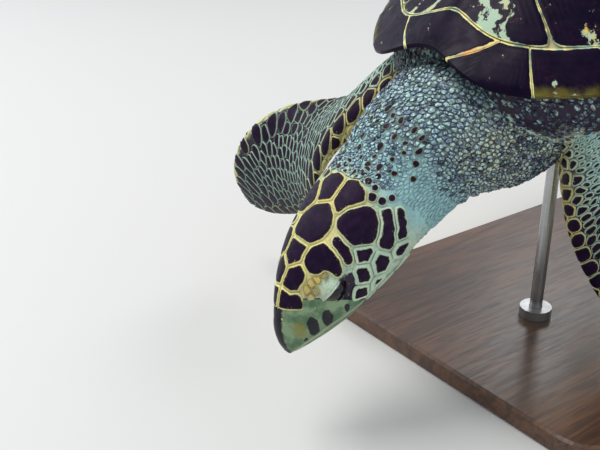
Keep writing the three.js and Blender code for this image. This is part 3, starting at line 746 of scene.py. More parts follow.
def seam_distance(outline, places):
    """Shortest distance in millimetres from each place to its own scale's outline."""
    a = outline[:, None]
    edge = np.roll(outline, -1, 1)[:, None] - a
    q = places[:, :, None] - a
    t = np.clip((q * edge).sum(-1) / np.maximum((edge * edge).sum(-1), 1e-9), 0, 1)
    return norm(q - edge * t[..., None]).min(2)


def plate_faces(count, spokes, rings):
    """Faces of count plates, each of some rings of spokes points and a middle point: walls between
    rings, the middle's fan, and the hidden underside."""
    each = rings * spokes + 1
    j = np.arange(spokes)
    k = (j + 1) % spokes
    walls = grid_faces(rings, spokes, True)
    fan = np.stack([(rings - 1) * spokes + j, (rings - 1) * spokes + k, np.full(spokes, rings * spokes)], -1)
    under = np.stack([np.zeros(spokes - 2, int), j[2:], j[1:-1]], -1)
    shift = (np.arange(count) * each)[:, None, None]
    return [(f[None] + shift).reshape(-1, f.shape[1]) for f in (walls, fan, under)]


# ring by ring from the hidden foot to near the middle: share of the outline, height as a share of the rise
PLATE_RINGS = ((0.99, -1.0), (0.97, 0.25), (0.9, 0.72), (0.72, 0.95), (0.4, 1.0))
GRAIN_RINGS = ((0.98, -1.0), (0.9, 0.45), (0.55, 1.0))
HEAD_RINGS = ((0.985, -0.9), (0.975, 0.2), (0.95, 0.62), (0.87, 0.85), (0.72, 0.96), (0.5, 1.0), (0.25, 1.02))
MIDDLE_HEIGHT = 1.02
FOOT_ON_MAP = [0.98, 0.95]     # where the two lowest rings lie on the map, clear of the neighbours'


def plates(name, surface, centres, outline, rise, look, layers, rings=PLATE_RINGS, limits=None, lean=None):
    """Scales as one joined mesh of closed plates over a surface. centres are run and share, outline the
    offsets to the rim; heights follow the rings times each scale's rise, and a lean tips its face."""
    n, spokes, _ = outline.shape
    low, high = limits or (surface.run[0], surface.run[-1])
    shares, heights = np.array(rings).T

    def shrunk(shares):
        return np.concatenate([*(outline * share for share in shares), np.zeros((n, 1, 2))], 1)
    parts = shrunk(shares)
    heights = np.append(np.repeat(heights, spokes), MIDDLE_HEIGHT)
    heights = heights * np.reshape(rise, (-1, 1)) + np.zeros((n, 1))
    where = centres[:, None] + parts
    point, normal = on_surface(surface, np.clip(where[..., 0], low, high), where[..., 1])
    girth = girth_at(surface, centres[:, 0])[:, None, None]
    scale = np.concatenate([np.ones_like(girth), girth], -1)
    seam = seam_distance(outline * scale, parts * scale)
    if lean is not None:
        heights += np.where(heights > 0, (parts * scale * lean[:, None]).sum(-1), 0)
    values = {"tone": hashed(np.arange(n), 3.0, 1), **layers}
    values = {key: np.broadcast_to(np.reshape(value, (-1, 1)), seam.shape) for key, value in values.items()}
    flat = centres[:, None] + shrunk([*FOOT_ON_MAP, *shares[2:]])
    bake = np.stack([(flat[..., 0] - low) / (high - low), flat[..., 1]], -1) * 0.9 + 0.05
    return make_piece(name, point + normal * heights[..., None], plate_faces(n, spokes, len(rings)), "skin",
                      finish(look), layers={"seam": seam, **values}, bake=np.clip(bake, 0, 1), pinned=(2,))


# ---------------- finishes


def colour(r, g, b):
    """A colour given from 0 to 255 as seen, turned to the linear values that shaders use."""
    v = np.array([r, g, b]) / 255
    return (*np.where(v <= 0.04045, v / 12.92, ((v + 0.055) / 1.055) ** 2.4).tolist(), 1.0)


SOCKETS = {"specular": "Specular IOR Level", "coat": "Coat Weight", "coat_roughness": "Coat Roughness",
           "metallic": "Metallic"}


class Finish:
    """A material and short ways to add nodes to it. Where a number is wanted, a name stands for an
    attribute and a tuple for noise; where a colour is wanted, a name stands for one of the panel's
    paints and three numbers for a colour as seen."""

    def __init__(self, name):
        self.material = bpy.data.materials.new(name)
        self.material.use_nodes = True
        self.tree = self.material.node_tree
        self.tree.nodes.clear()
        self.place = self.add("ShaderNodeTexCoord").outputs["Object"]

    def add(self, kind, inputs=None, **settings):
        node = self.tree.nodes.new(kind)
        for key, value in settings.items():
            setattr(node, key, value)
        for key, value in (inputs or {}).items():
            if isinstance(value, bpy.types.NodeSocket):
                self.tree.links.new(value, node.inputs[key])
            else:
                node.inputs[key].default_value = value
        return node

    def value(self, given):
        if isinstance(given, str):
            return self.add("ShaderNodeAttribute", attribute_name=given).outputs["Fac"]
        return self.noise(*given) if isinstance(given, tuple) else given

    def paint(self, given):
        if isinstance(given, str):
            return (*getattr(bpy.context.scene.turtle_colours, given), 1.0)
        return colour(*given) if isinstance(given, tuple) and len(given) == 3 else given

    def noise(self, scale, detail=3.0, roughness=0.55, place=None, distortion=0.0):
        inputs = {"Vector": place or self.place, "Scale": scale, "Detail": detail, "Roughness": roughness,
                  "Distortion": distortion}
        return self.add("ShaderNodeTexNoise", inputs).outputs["Fac"]

    def cells(self, scale, feature="F1"):
        inputs = {"Vector": self.place, "Scale": scale}
        return self.add("ShaderNodeTexVoronoi", inputs, feature=feature).outputs["Distance"]

    def stretched(self, x, y, z):
        return self.add("ShaderNodeMapping", {"Vector": self.place, "Scale": (x, y, z)}).outputs[0]

    def math(self, operation, a, b=0.0, c=0.0):
        inputs = {k: self.value(v) for k, v in enumerate((a, b, c))}
        return self.add("ShaderNodeMath", inputs, operation=operation).outputs[0]

    plus = partialmethod(math, "ADD")
    less = partialmethod(math, "SUBTRACT")
    times = partialmethod(math, "MULTIPLY")
    scaled = partialmethod(math, "MULTIPLY_ADD")

    def swing(self, by, *noise):
        """Noise spread evenly about nothing, by half of by to each side."""
        return self.scaled(noise, by, -by / 2)

    def rings(self, seam, pace, noise, sway):
        """Growth lines: the sine of the seam's distance times a pace, swayed by noise."""
        return self.math("SINE", self.scaled(seam, pace, self.times(noise, sway)))

    def step(self, given, low, high, first=0.0, last=1.0):
        """first below low, last above high, a smooth step between."""
        inputs = {"Value": self.value(given), "From Min": low, "From Max": high, "To Min": first,
                  "To Max": last}
        return self.add("ShaderNodeMapRange", inputs, interpolation_type="SMOOTHSTEP").outputs["Result"]

    def mix(self, share, a, b):
        inputs = {"Factor": self.value(share), 6: self.paint(a), 7: self.paint(b)}
        return self.add("ShaderNodeMix", inputs, data_type="RGBA").outputs[2]

    def layered(self, base, *coats):
        """Coats laid over a base one by one, each a colour and the step that it shows by."""
        for paint, *step in coats:
            base = self.mix(self.step(*step), base, paint)
        return base

    def close(self, base, roughness, bumps=(), **fixed):
        """Ends in the shader. bumps are height, strength and distance in metres, one on the other."""
        inputs = {"Base Color": base, "Roughness": roughness, **{SOCKETS[key]: v for key, v in fixed.items()}}
        for height, strength, distance in bumps:
            values = {"Height": self.value(height), "Strength": strength, "Distance": distance}
            if "Normal" in inputs:
                values["Normal"] = inputs["Normal"]
            inputs["Normal"] = self.add("ShaderNodeBump", values).outputs[0]
        shader = self.add("ShaderNodeBsdfPrincipled", inputs)
        self.add("ShaderNodeOutputMaterial", {"Surface": shader.outputs[0]})
        return self.material


def flesh_colours(f):
    """Pale and dark colour of skin and scales, from the tint (0 blue, 1 green and cream), the warm
    share and mottling."""
    mottle = f.noise(55, 4)
    pale = f.layered(f.mix("tint", "pale_blue", "cream"), ("pale_shade", mottle, 0.35, 0.7, 0, 0.32))
    pale = f.mix(f.times("warm", f.step(mottle, 0.3, 0.6, 0.6, 1)), pale, "yellow")
    return (f.layered(pale, ("pale_shade", (700, 3), 0.3, 0.75, 0, 0.25)),
            f.layered("aubergine", ("aubergine_light", (120, 4), 0.35, 0.75)))


def skin_finish():
    """Bare skin: pale, with dark pigment by the dark attribute, which on the neck also holds painted shade
    and highlight in streaks, fine creases and a pebbled grain.
    """
    f = Finish("turtle skin")
    pale, dark = flesh_colours(f)
    base = f.layered(pale, (dark, f.plus("dark", f.swing(0.7, 170, 5, 0.65)), 0.38, 0.66))
    crease = f.times(f.step("crease", 0.15, 0.95, 0, 0.85), f.step((240, 4), 0.3, 0.6, 0.35, 1))
    edge = f.cells(230, "DISTANCE_TO_EDGE")
    lines = f.noise(130, 4, 0.6, f.stretched(1.6, 0.35, 0.35))
    base = f.layered(f.mix(crease, base, dark),
                     (dark, lines, 0.56, 0.68, 0, 0.5), (dark, edge, 0, 0.07, 0.22, 0))
    bumps = ((f.step(edge, 0, 0.25), 0.3, 0.0005), (lines, 0.5, 0.0012),
             (f.cells(420, "SMOOTH_F1"), 0.3, 0.0004), ((1500, 3), 0.25, 0.0002))
    return f.close(base, f.step((300, 3), 0.3, 0.7, 0.42, 0.62), bumps, specular=0.42)


def granule_finish():
    """Small crumpled scale: pale or dark by its own pigment and by the painted shade of the neck's folds,
    with painted shade darkening into the gap round it and a painted highlight on some facets.
    """
    f = Finish("neck granules")
    pale, dark = flesh_colours(f)
    gap = f.value("gap")
    ragged = f.plus("dark", f.swing(0.9, 260, 4, 0.65))
    pale = f.mix(f.times(f.step("tone", 0.3, 0.9, 0, 0.8), gap), pale, "lavender")
    base = f.layered(pale, (dark, ragged, 0.36, 0.62))
    # painted highlight: on random facets the colour goes towards a pale glint, standing in for light caught
    # by the wet folds
    glint = f.times(f.step((330, 4, 0.7), 0.49, 0.57, 0, 0.85), gap)
    base = f.mix(glint, base, f.layered("glint", ("pale_shade", ragged, 0.4, 0.7)))
    # painted shade: the granule darkens towards its seam, into the gap round it, where shade falls; the dark
    # flecks are pigment
    furrow_shade = f.times(f.step("seam", 0.1, 0.8, 0.85, 0), gap)
    fleck = f.times(f.step((240, 5, 0.75, None, 0.8), 0.47, 0.55, 0, 0.8), gap)
    base = f.mix(f.math("MAXIMUM", furrow_shade, fleck), base, "crease")
    bumps = (((520, 4, 0.6), 0.45, 0.0006), (f.cells(1500, "SMOOTH_F1"), 0.25, 0.0002))
    return f.close(base, f.step((300, 3), 0.3, 0.7, 0.45, 0.62), bumps, specular=0.35)


def scale_finish():
    """Horny scale: a thin dark seam line at its rim, a pale border as wide as the margin attribute with a
    ragged inner edge, an olive fringe, then dark horn with faint growth lines."""
    f = Finish("turtle scales")
    pale, dark = flesh_colours(f)
    seam, margin = f.value("seam"), f.value("margin")
    ragged = f.times(f.swing(3.0, 230, 4, 0.6), f.step(margin, 0.3, 2.5, 0.2, 1))
    past = f.plus(f.less(seam, margin), ragged)
    horn = f.layered(pale, (f.mix(0.62, dark, "olive"), past, -0.2, 0.4),
                     (f.layered(pale, (dark, "dark", 0.3, 0.7)), past, 0.25, 1.0))
    speck = f.times(f.step((420, 2, 0.5), 0.66, 0.74), f.step(past, 3.5, 0.8))
    horn = f.layered(f.mix(f.times(speck, 0.55), horn, pale), ("seam_blue", seam, 0.05, 0.28, 0.6, 0))
    bumps = ((f.rings(seam, 4.2, (90, 2), 9), 0.1, 0.0002), ((380, 5, 0.6), 0.28, 0.0005),
             (f.step(f.cells(1300), 0.1, 0.6), 0.08, 0.0002))
    return f.close(horn, f.step((210, 4), 0.3, 0.7, 0.4, 0.56), bumps, specular=0.11)


def shell_finish():
    """Tortoiseshell: dark horn, amber clouds and pale jagged splashes that stream from each scute's
    growth centre; a cream seam round the scute; faint rings of growth."""
    f = Finish("carapace horn")
    reach, seam, margin, warm = (f.value(key) for key in ("reach", "seam", "margin", "warm"))
    wobble = f.swing(0.9, 45, 4)
    rays = {k: f.scaled(key, 2.5, wobble) for k, key in enumerate(("ray_x", "ray_y"))}
    rays[2] = f.plus(f.times("tone", 37), f.times(reach, 1.3))
    streaks = f.noise(1.2, 5, 0.6, f.add("ShaderNodeCombineXYZ", rays).outputs[0])
    streaks = f.scaled("quiet", -0.1, f.plus(streaks, f.swing(0.16, 190, 4, 0.7)))
    amber = f.times(f.step(streaks, 0.5, 0.64, 0, 0.25), f.step((60, 3), 0.45, 0.7))
    base = f.mix(amber, f.layered("shell_dark", ("shell_brown", (38, 4), 0.35, 0.7)), "amber")
    splash = f.times(f.step(streaks, 0.565, 0.6), f.step(reach, 0.25, 0.6))
    base = f.mix(splash, base, f.layered("splash", ("yellow", (48, 4), 0.5, 0.66)))
    base = f.layered(base, ("olive", f.plus("rim", f.swing(0.5, 70, 4)), 0.74, 1.1, 0, 0.55))
    cream = f.layered("cream", ("splash", (90, 3), 0.4, 0.62))
    cream = f.mix(f.times(warm, f.step((130, 3), 0.4, 0.6, 0.4, 1)), cream, "orange")
    border = f.step(f.less(f.plus(seam, f.swing(2.6, 110, 4)), warm), margin, f.plus(margin, 0.7), 1, 0)
    base = f.mix(f.times(border, f.step((34, 3), 0.34, 0.46, 0.5, 1)), base, cream)
    bumps = ((f.rings(seam, 1.15, (16, 3), 7), 0.05, 0.0005), (streaks, 0.2, 0.0008),
             ((260, 5, 0.6), 0.18, 0.0004))
    return f.close(base, f.step((95, 5), 0.3, 0.75, 0.26, 0.46), bumps, specular=0.07)


def core_finish(name, tone):
    """Bony layer that shows only in the seams between scutes."""
    f = Finish(name)
    base = f.mix((140, 4), tone, tuple(0.62 * np.array(tone)))
    return f.close(base, f.step((300, 3), 0.3, 0.7, 0.5, 0.7), (((400, 4), 0.4, 0.0005),))


def belly_finish():
    """Plastron scutes: cream yellow, faint amber clouds, a darker seam and long growth lines."""
    f = Finish("plastron horn")
    seam = f.value("seam")
    base = f.layered((226, 208, 150),
                     ((214, 186, 118), (30, 4), 0.4, 0.7),
                     ((150, 118, 72), (110, 5), 0.55, 0.75, 0, 0.35),
                     ((120, 96, 66), seam, 0.3, 1.8, 0.75, 0))
    bumps = ((f.rings(seam, 1.3, (18, 3), 6), 0.14, 0.0005), ((240, 5), 0.2, 0.0004))
    return f.close(base, f.step((120, 4), 0.3, 0.7, 0.3, 0.48), bumps, coat=0.1, coat_roughness=0.3)


def sheath_finish():
    """Beak horn: green with an olive blotch, dark strokes down it, a worn cutting edge and a dark stripe
    along the ridge."""
    f = Finish("beak horn")
    strokes, edge = f.noise(170, 4, 0.6), f.value("edge")
    scratches = f.noise(60, 4, 0.7, f.stretched(6, 2, 1))
    ragged = f.scaled(strokes, 0.7, -0.35)
    base = f.layered(
        (78, 110, 82),
        ((134, 156, 122), (60, 4, 0.6), 0.4, 0.6),
        ((60, 82, 56), edge, 2, 16, 0.45, 0),
        ("olive", f.plus("blotch", ragged), 0.05, 0.6, 0, 0.8),
        ((126, 156, 116), (190, 5), 0.3, 0.75, 0, 0.3),
        ("aubergine", f.plus("stroke", ragged), -0.05, 0.12, 0, 0.94),
        ((160, 176, 142), f.plus(edge, f.swing(3, 200, 3)), 0.8, 3.2, 0.8, 0),
        ("aubergine", f.plus("ridge", f.swing(4, 160, 3)), 5.5, 7.5, 0.96, 0),
        ("aubergine", "rim", 0.4, 1.2, 0.85, 0),
    )
    bumps = ((strokes, 0.2, 0.0005), (scratches, 0.2, 0.0003))
    return f.close(base, f.step(scratches, 0.3, 0.7, 0.32, 0.5), bumps,
                   coat=0.06, coat_roughness=0.25, specular=0.2)


def eye_finish():
    """Wet dark eyeball: near-black purple brown, a faint paler ring where the iris ends."""
    f = Finish("eyeball")
    ring = f.value("ring")
    base = f.layered((14, 8, 16), ((40, 24, 34), ring, 0.52, 0.6), ((86, 78, 84), ring, 0.72, 0.86),
                     ((60, 40, 34), (400, 3), 0.5, 0.8, 0, 0.3))
    return f.close(base, 0.12, coat=0.35, coat_roughness=0.03, specular=0.3)


def claw_finish():
    """Horn claw: dark brown and paler amber mixed in clouds, with lengthwise grain."""
    f = Finish("claw horn")
    base = f.layered((92, 70, 50), ((186, 160, 112), (180, 3), 0.35, 0.65))
    grain = f.noise(500, 4, 0.6, f.stretched(1, 0.4, 1))
    return f.close(base, 0.32, ((grain, 0.3, 0.0003),), coat=0.2, coat_roughness=0.2)


def wood_finish():
    """Dark stained wood: long grain along the base, growth bands and fine open pores under satin varnish."""
    f = Finish("stained wood")
    bands = f.noise(7, 4, 0.6, f.stretched(9, 0.75, 9), 1.2)
    grain = f.noise(70, 4, 0.7, f.stretched(5, 0.3, 5))
    base = f.layered((58, 36, 24), ((96, 62, 38), bands, 0.35, 0.65),
                     ((32, 20, 14), grain, 0.5, 0.72, 0, 0.6))
    return f.close(base, f.step(grain, 0.35, 0.7, 0.3, 0.45), ((grain, 0.18, 0.0003), (bands, 0.12, 0.0004)),
                   coat=0.3, coat_roughness=0.22)


def steel_finish():
    """Brushed steel: a fine brushed grain round the rods, smudges in the roughness."""
    f = Finish("brushed steel rods")
    brush = f.noise(60, 3, 0.7, f.stretched(1, 1, 26))
    base = f.mix(brush, (150, 152, 154), (190, 191, 192))
    return f.close(base, f.step((25, 4), 0.3, 0.7, 0.24, 0.38), ((brush, 0.12, 0.0001),), metallic=1.0)


def rubber_finish():
    """Black cradle rubber with a fine moulded grain and dust."""
    f = Finish("cradle rubber")
    base = f.layered((26, 26, 27), ((58, 57, 55), (160, 4), 0.5, 0.8))
    return f.close(base, 0.72, ((f.cells(900), 0.3, 0.0003),))


# ---------------- markings shared by skin and scales


def throat_marks(run, arc, share):
    """Pigment of head and neck by place: how dark, how green or cream, how yellow, how creased. On the neck
    the dark also holds stripes of painted shade, with pale painted highlight streaks between them, for the
    light on its folds.
    """
    side = np.abs(share - 0.5)
    warp = 16 * waves(run / 38, arc / 38, 21)
    top = ramp(np.abs(arc), 56, -26)
    tint = mix(0.42, 1.0, top) * smooth((188 - run + 0.5 * warp) / 30)
    tint = np.maximum(tint, (0.12 + 0.5 * ramp(np.abs(arc), 50, 60)) * ramp(run, 215, 45))
    tint = mix(tint, 0.75, ramp(side, 0.34, 0.1))
    shoulder = smooth((run + warp - 318 + 60 * side) / 46) * ramp(side, 0.45, -0.1)
    dark = 0.06 + 0.58 * shoulder + 0.16 * waves(run / 9, arc / 9, 22)
    dark += 0.17 * ramp(run, 190, 40) * ramp(side, 0.42, -0.1)
    ahead, above = 77 - run, 57 - 0.33 * (77 - run) - np.abs(arc)
    dark += 0.62 * ramp(np.hypot((ahead + 5) / 23, (above + 6) / 15), 1.15, -0.35)
    dark += 0.16 * waves(run / 3, arc / 3, 27) * ramp(np.hypot(ahead, above), 28, -6)
    lid = ramp(above, 3, 2) * ramp(above, 20, -4) * ramp(ahead, -12, 8)
    dark += lid * ramp(ahead, 17, -8) * (0.34 * waves(run / 3.4, arc / 2.2, 28) - 0.36)
    tint = mix(tint, 0.4, lid)
    # painted shade and highlight: from mid neck to the shoulder, dark bands with pale streaks between stand
    # for the light on the neck's folds
    highlight_streaks = 0.5 + 0.5 * np.sin((arc + 0.35 * run + warp) / 5.2)
    dark += 0.34 * highlight_streaks * ramp(run, 285, 40) * (1 - shoulder)
    dark = np.where(side > 0.2, np.minimum(dark, mix(1, 0.45, ramp(run, 290, 30))), dark)
    warm = 0.55 * ramp(run, 270, 45) * (1 - shoulder) * smooth(waves(run / 22, arc / 22, 23) + 0.3)
    warm += 0.30 * top * ramp(run, 190, -30) * ramp(waves(run / 30, arc / 30, 24), -0.5, 0.8)
    crease = ramp(run, 205, 40) * ramp(run, 400, -60)
    return dict(dark=np.clip(dark, 0, 1), tint=np.clip(tint, 0, 1), warm=np.clip(warm, 0, 1), crease=crease)


def flipper_marks(part, share):
    """Pigment of a flipper: part of its length, share of its girth. Upper face dark, underside pale,
    the leading margin greenish, with yellow near the arm."""
    above = ramp(share, 0.53, -0.05) * ramp(share, 0.0, 0.03)
    blotch = waves(part * 9, share * 9, 31)
    lead = bell(share, 0.5, 0.05)
    dark = above * (0.62 + 0.25 * ramp(part, 0.2, 0.3) + 0.3 * blotch) + (1 - above) * (0.12 + 0.18 * blotch)
    dark = np.clip(dark, 0, 1) * (1 - 0.65 * bell(share, LEADING_EDGE, 0.018))
    tint = mix(0.8, 0.15, above) + 0.55 * lead
    warm = 0.75 * bell(share, 0.47, 0.07) * bell(part, 0.24, 0.2) + 0.3 * (1 - above)
    return dict(dark=dark, tint=np.clip(tint, 0, 1), warm=np.clip(warm, 0, 1), crease=0 * dark)


def trunk_marks(points):
    """Pigment between the shells: dark at the shoulders, paler low down."""
    fine = waves(points[:, 0] / 30, points[:, 1] / 30, 41)
    low = ramp(points[:, 2], -40, -45)
    dark = np.clip(0.74 - 0.4 * low + 0.3 * fine, 0, 1)
    return dict(dark=dark, tint=0.35 + 0.4 * low, warm=0.2 + 0 * dark, crease=0.5 - 0.3 * low)


def midline(run):
    """Millimetres that the scutes' middle seam wanders off the head's middle towards the crown's back."""
    return 7 * ramp(run, 95, 60)


# ---------------- skin

COAT = 0.8         # depth of skin under the solids' faces, millimetres
SKIN_NODES = ("head", "neck", "trunk", "tail", "flipper_front_left_arm", "flipper_front_left_blade",
              "flipper_front_right_arm", "flipper_front_right_blade", "flipper_rear_left",
              "flipper_rear_right")


def skin_rings(surface, layers_of, stride=1):
    """A tube surface as closed rings drawn in by the coat's depth, with its markings."""
    grid = (surface.points - surface.normals * COAT)[:, :-1][::stride, ::stride]
    points, faces = closed_loft(grid)
    drawn = {k: v[:, :-1][::stride, ::stride] for k, v in layers_of.items()}
    layers = {k: np.concatenate([v.ravel(), [v[0, 0], v[-1, 0]]]) for k, v in drawn.items()}
    return points, faces, layers


def joined_parts(parts):
    """Several sets of points, faces and layers put into one, their faces renumbered and those with four
    corners first."""
    starts = np.cumsum([0] + [len(points) for points, _, _ in parts])
    faces = [f + start for (_, several, _), start in zip(parts, starts) for f in several]
    by_width = [np.concatenate([f for f in faces if f.shape[1] == n]) for n in (4, 3)]
    layers = {key: np.concatenate([np.ravel(values[key]) for _, _, values in parts]) for key in parts[0][2]}
    return np.concatenate([points for points, _, _ in parts]), by_width, layers


def build_skin(throat, flippers):
    """Head, neck, trunk, limbs and tail as one closed skin: each lofted by itself, then united."""
    arc = (throat.share - 0.5) * throat.girth[:, None]
    run = throat.run[:, None] + 0 * arc
    parts = [skin_rings(throat, throat_marks(run, arc, throat.share[None] + 0 * arc))]
    for key, surface in flippers.items():
        share = surface.share[None] + 0 * surface.points[..., 0]
        part = surface.run[:, None] / FLIPPERS[key].length + 0 * share
        parts.append(skin_rings(surface, flipper_marks(part, share), 2))
    for rings in (trunk_rings(44, 120), tail_rings(24, 30)):
        points, faces = closed_loft(rings)
        parts.append((points, faces, trunk_marks(points)))
    skin, *others = [make_piece(f"turtle_skin_{k}", points, faces, "skin", finish("skin"), layers=layers)
                     for k, (points, faces, layers) in enumerate(parts)]
    for other in others:
        cut = skin.modifiers.new("unite", "BOOLEAN")
        cut.operation, cut.object, cut.solver = "UNION", other, "MANIFOLD"
    graph = bpy.context.evaluated_depsgraph_get()
    united = bpy.data.meshes.new_from_object(skin.evaluated_get(graph), depsgraph=graph)
    for other in others:
        bpy.data.objects.remove(other)
    skin.modifiers.clear()
    skin.data = united
    skin.name = united.name = "turtle_skin"
    united.polygons.foreach_set("use_smooth", np.full(len(united.polygons), True))
    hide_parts(*[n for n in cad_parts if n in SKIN_NODES])


# ---------------- head scutes

# Circles in millimetres behind the beak's tip and off the middle seam, with their radii, after how far
# the scute may grow past them, its pale border's width and how dark its middle is.
MIDDLE_SCUTES = {
    "frontal": (9, 1.5, 1, [(84, 0, 11), (91, 0, 11)]),
    "frontoparietal": (9, 1.5, 1, [(109, 0, 13), (121, 0, 19), (132, 0, 13)]),
}
PAIRED_SCUTES = {
    "front prefrontal": (8, 1.4, 1, [(42, 8, 9), (45, 19, 8)]),
    "rear prefrontal": (8, 1.5, 1, [(61, 9, 10), (68, 13, 10)]),
    "supraocular": (7, 1.5, 1, [(88, 26, 12), (96, 34, 11), (97, 43, 7)]),
    "upper postocular": (3, 1.3, 1, [(116, 35, 5), (112, 44, 5), (108, 52, 4)]),
    "middle postocular": (5, 2.4, 1, [(120, 61, 8)]),
    "temporal": (8, 1.6, 1, [(141, 39, 21)]),
    "parietal": (7, 1.5, 1, [(150, 12, 10), (160, 16, 15), (170, 10, 8)]),
    "upper tympanic": (5, 1.9, 1, [(163, 55, 8), (154, 63, 9.5), (145, 71, 8.5)]),
    "rear tympanic": (4, 1.9, 1, [(172, 64, 4.5), (165, 72, 5.5), (157, 80, 6)]),
    "low tympanic": (6, 4.2, 0.8, [(146, 92, 9)]),
    "cheek front": (5, 3.0, 1, [(89, 86, 8)]),
    "cheek middle": (5, 3.3, 1, [(105, 75, 9)]),
    "cheek rear": (6, 3.6, 1, [(123, 83, 10.5)]),
    "cheek low": (6, 4.2, 0.9, [(128, 106, 10)]),
    "cheek low front": (6, 4.6, 0.7, [(107, 100, 9)]),
    **{f"brow bead {k}": (1.6, 0.4, dark, [bead]) for k, (dark, *bead) in enumerate((
        (0.2, 62, 28, 3.6), (0.2, 69, 30, 3.6), (0.25, 76, 33, 3.8), (0.3, 83, 37, 3.4), (0.2, 58, 34, 3.4),
        (0.25, 65, 36, 3.2)))},
    "lore": (1.6, 0.6, 0.4, [(53, 38, 3.6)]), "low lore": (1.6, 0.6, 0.5, [(56, 43, 3.0)]),
    **{f"nape {k}": (1.4, margin, dark, [bead]) for k, (margin, dark, *bead) in enumerate((
        (0.7, 1, 181, 0, 4.4), (0.6, 1, 187, 12, 4), (0.9, 0.7, 178, 7, 3.6), (0.7, 1, 181, 21, 3.6),
        (0.8, 1, 170, 33, 4.4), (0.9, 0.9, 172, 43, 4), (0.6, 1, 189, -12, 3.6), (0.6, 0.9, 190, 26, 3),
        (0.7, 0.9, 179, 30, 3), (0.7, 0.9, 180, 49, 3.2)))},
    "jaw 1": (5, 5.5, 0.5, [(108, 122, 8), (118, 121, 8)]), "jaw 2": (5, 5.5, 0.5, [(137, 122, 9)]),
    "jaw 3": (5, 5, 0.5, [(92, 117, 8)]),
}


SHEATH_END = 88      # millimetres behind the tip


def sheath_limit(back):
    """Height of the beak sheath's upper rear edge on the head: from the ridge to the mouth's corner."""
    return np.interp(back, [30, SHEATH_END], [17, -28])


def build_head_scutes(throat):
    """The head's large scutes, laid out on the unrolled head, each side's sizes varied a little."""
    rng = np.random.default_rng(11)
    groups, facts = [], []
    for grown, margin, dark, circles in MIDDLE_SCUTES.values():
        groups.append([(s, midline(s), r) for s, q, r in circles])
        facts.append((grown, margin, dark))
    for grown, margin, dark, circles in PAIRED_SCUTES.values():
        for side in (1, -1):
            shift = rng.uniform(-1.2, 1.2, 2) * (side < 0)
            swell = 1 + rng.uniform(-0.07, 0.07) * (side < 0)
            groups.append([(s + shift[0], midline(s) + side * (q + shift[1]), r * swell)
                           for s, q, r in circles])
            facts.append((grown, margin, dark))
    facts = np.array(facts)

    def allowed(s, q):
        share = q / girth_at(throat, s)
        where, _ = on_surface(throat, s, 0.5 + share)
        local = unheaded(where)
        clear = np.ones(s.shape, bool)
        for side in (1, -1):
            m = lid_measure(local, side)[0]
            clear &= (m > 1.75) | (local[..., 0] * side < 0)
        sheath = (local[..., 1] < SHEATH_END) & (local[..., 2] < sheath_limit(local[..., 1]) + 1.2)
        mouth = np.interp(local[..., 1], MOUTH_LINE[:, 0], MOUTH_LINE[:, 1])
        lip = np.abs(local[..., 2] - mouth) < 1.5
        return clear & ~sheath & ~lip & (s > 27) & (np.abs(share) < 0.485)

    middle, offset = grouped_outlines(groups, 56, allowed, grown=facts[:, 0])
    big = norm(offset).max(1) > 1.6
    middle, offset, facts = middle[big], offset[big] * 0.988, facts[big]
    p = middle[:, None] + offset
    centres = np.stack([middle[:, 0], 0.5 + middle[:, 1] / girth_at(throat, middle[:, 0])], -1)
    share = 0.5 + p[..., 1] / girth_at(throat, p[..., 0])
    outline = np.stack([offset[..., 0], share - centres[:, 1:]], -1)
    size = np.sqrt((offset**2).sum(-1).mean(1))
    marks = throat_marks(centres[:, 0], middle[:, 1], centres[:, 1])
    beads = facts[:, 2] < 0.35
    tone = hashed(np.arange(len(facts)), 7.0, 2)
    layers = dict(dark=facts[:, 2] + beads * 0.34 * tone, margin=facts[:, 1], tint=marks["tint"],
                  warm=np.where(beads, 0.95 - 0.55 * tone, marks["warm"]))
    rise = np.clip(size * 0.11, 0.7, 1.5)
    plates("head_scutes", throat, centres, outline, rise, "scale", layers, HEAD_RINGS)


# ---------------- neck granules and small scales


def granules(name, surface, seeds, marks, calm=0.0):
    """Crumpled small scales: flat-topped facets, each tipped a random way, with painted shade in the gaps
    between and darker bands of painted shade along the neck's folds. Where calm is 1 they lie almost flat and
    pale."""
    n = len(seeds)
    rng = np.random.default_rng(n)
    calm = calm + np.zeros(n)
    outline = cell_outlines(surface, seeds, 8, 14, 16) * rng.uniform(0.9, 0.99, (n, 1, 1))
    tone = rng.uniform(0, 1, n)
    # painted shade: broad darker bands across the granules stand for the shade in the neck's folds; tone is
    # their own random pigment
    furrow_shade = waves(seeds[:, 0] / 26, seeds[:, 1] * 13, 61)
    own = 0.5 * (tone - 0.5) + 0.3 * furrow_shade + 0.4 * (tone > 0.93)
    dark = np.clip(marks["dark"] + own * (1 - calm), 0, 1)
    lean = rng.normal(0, 0.16, (n, 2)) * (1 - 0.85 * calm[:, None])
    # gap sets how strong the painted shade in the gaps, the painted highlight and the lavender are
    layers = dict(dark=dark, tint=marks["tint"], warm=marks["warm"], gap=1 - 0.75 * calm)
    rise = (0.11 * seeds[:, 2] + 0.4 * tone) * (1 - 0.7 * calm)
    plates(name, surface, seeds[:, :2], outline, rise, "granule", layers, GRAIN_RINGS, lean=lean)


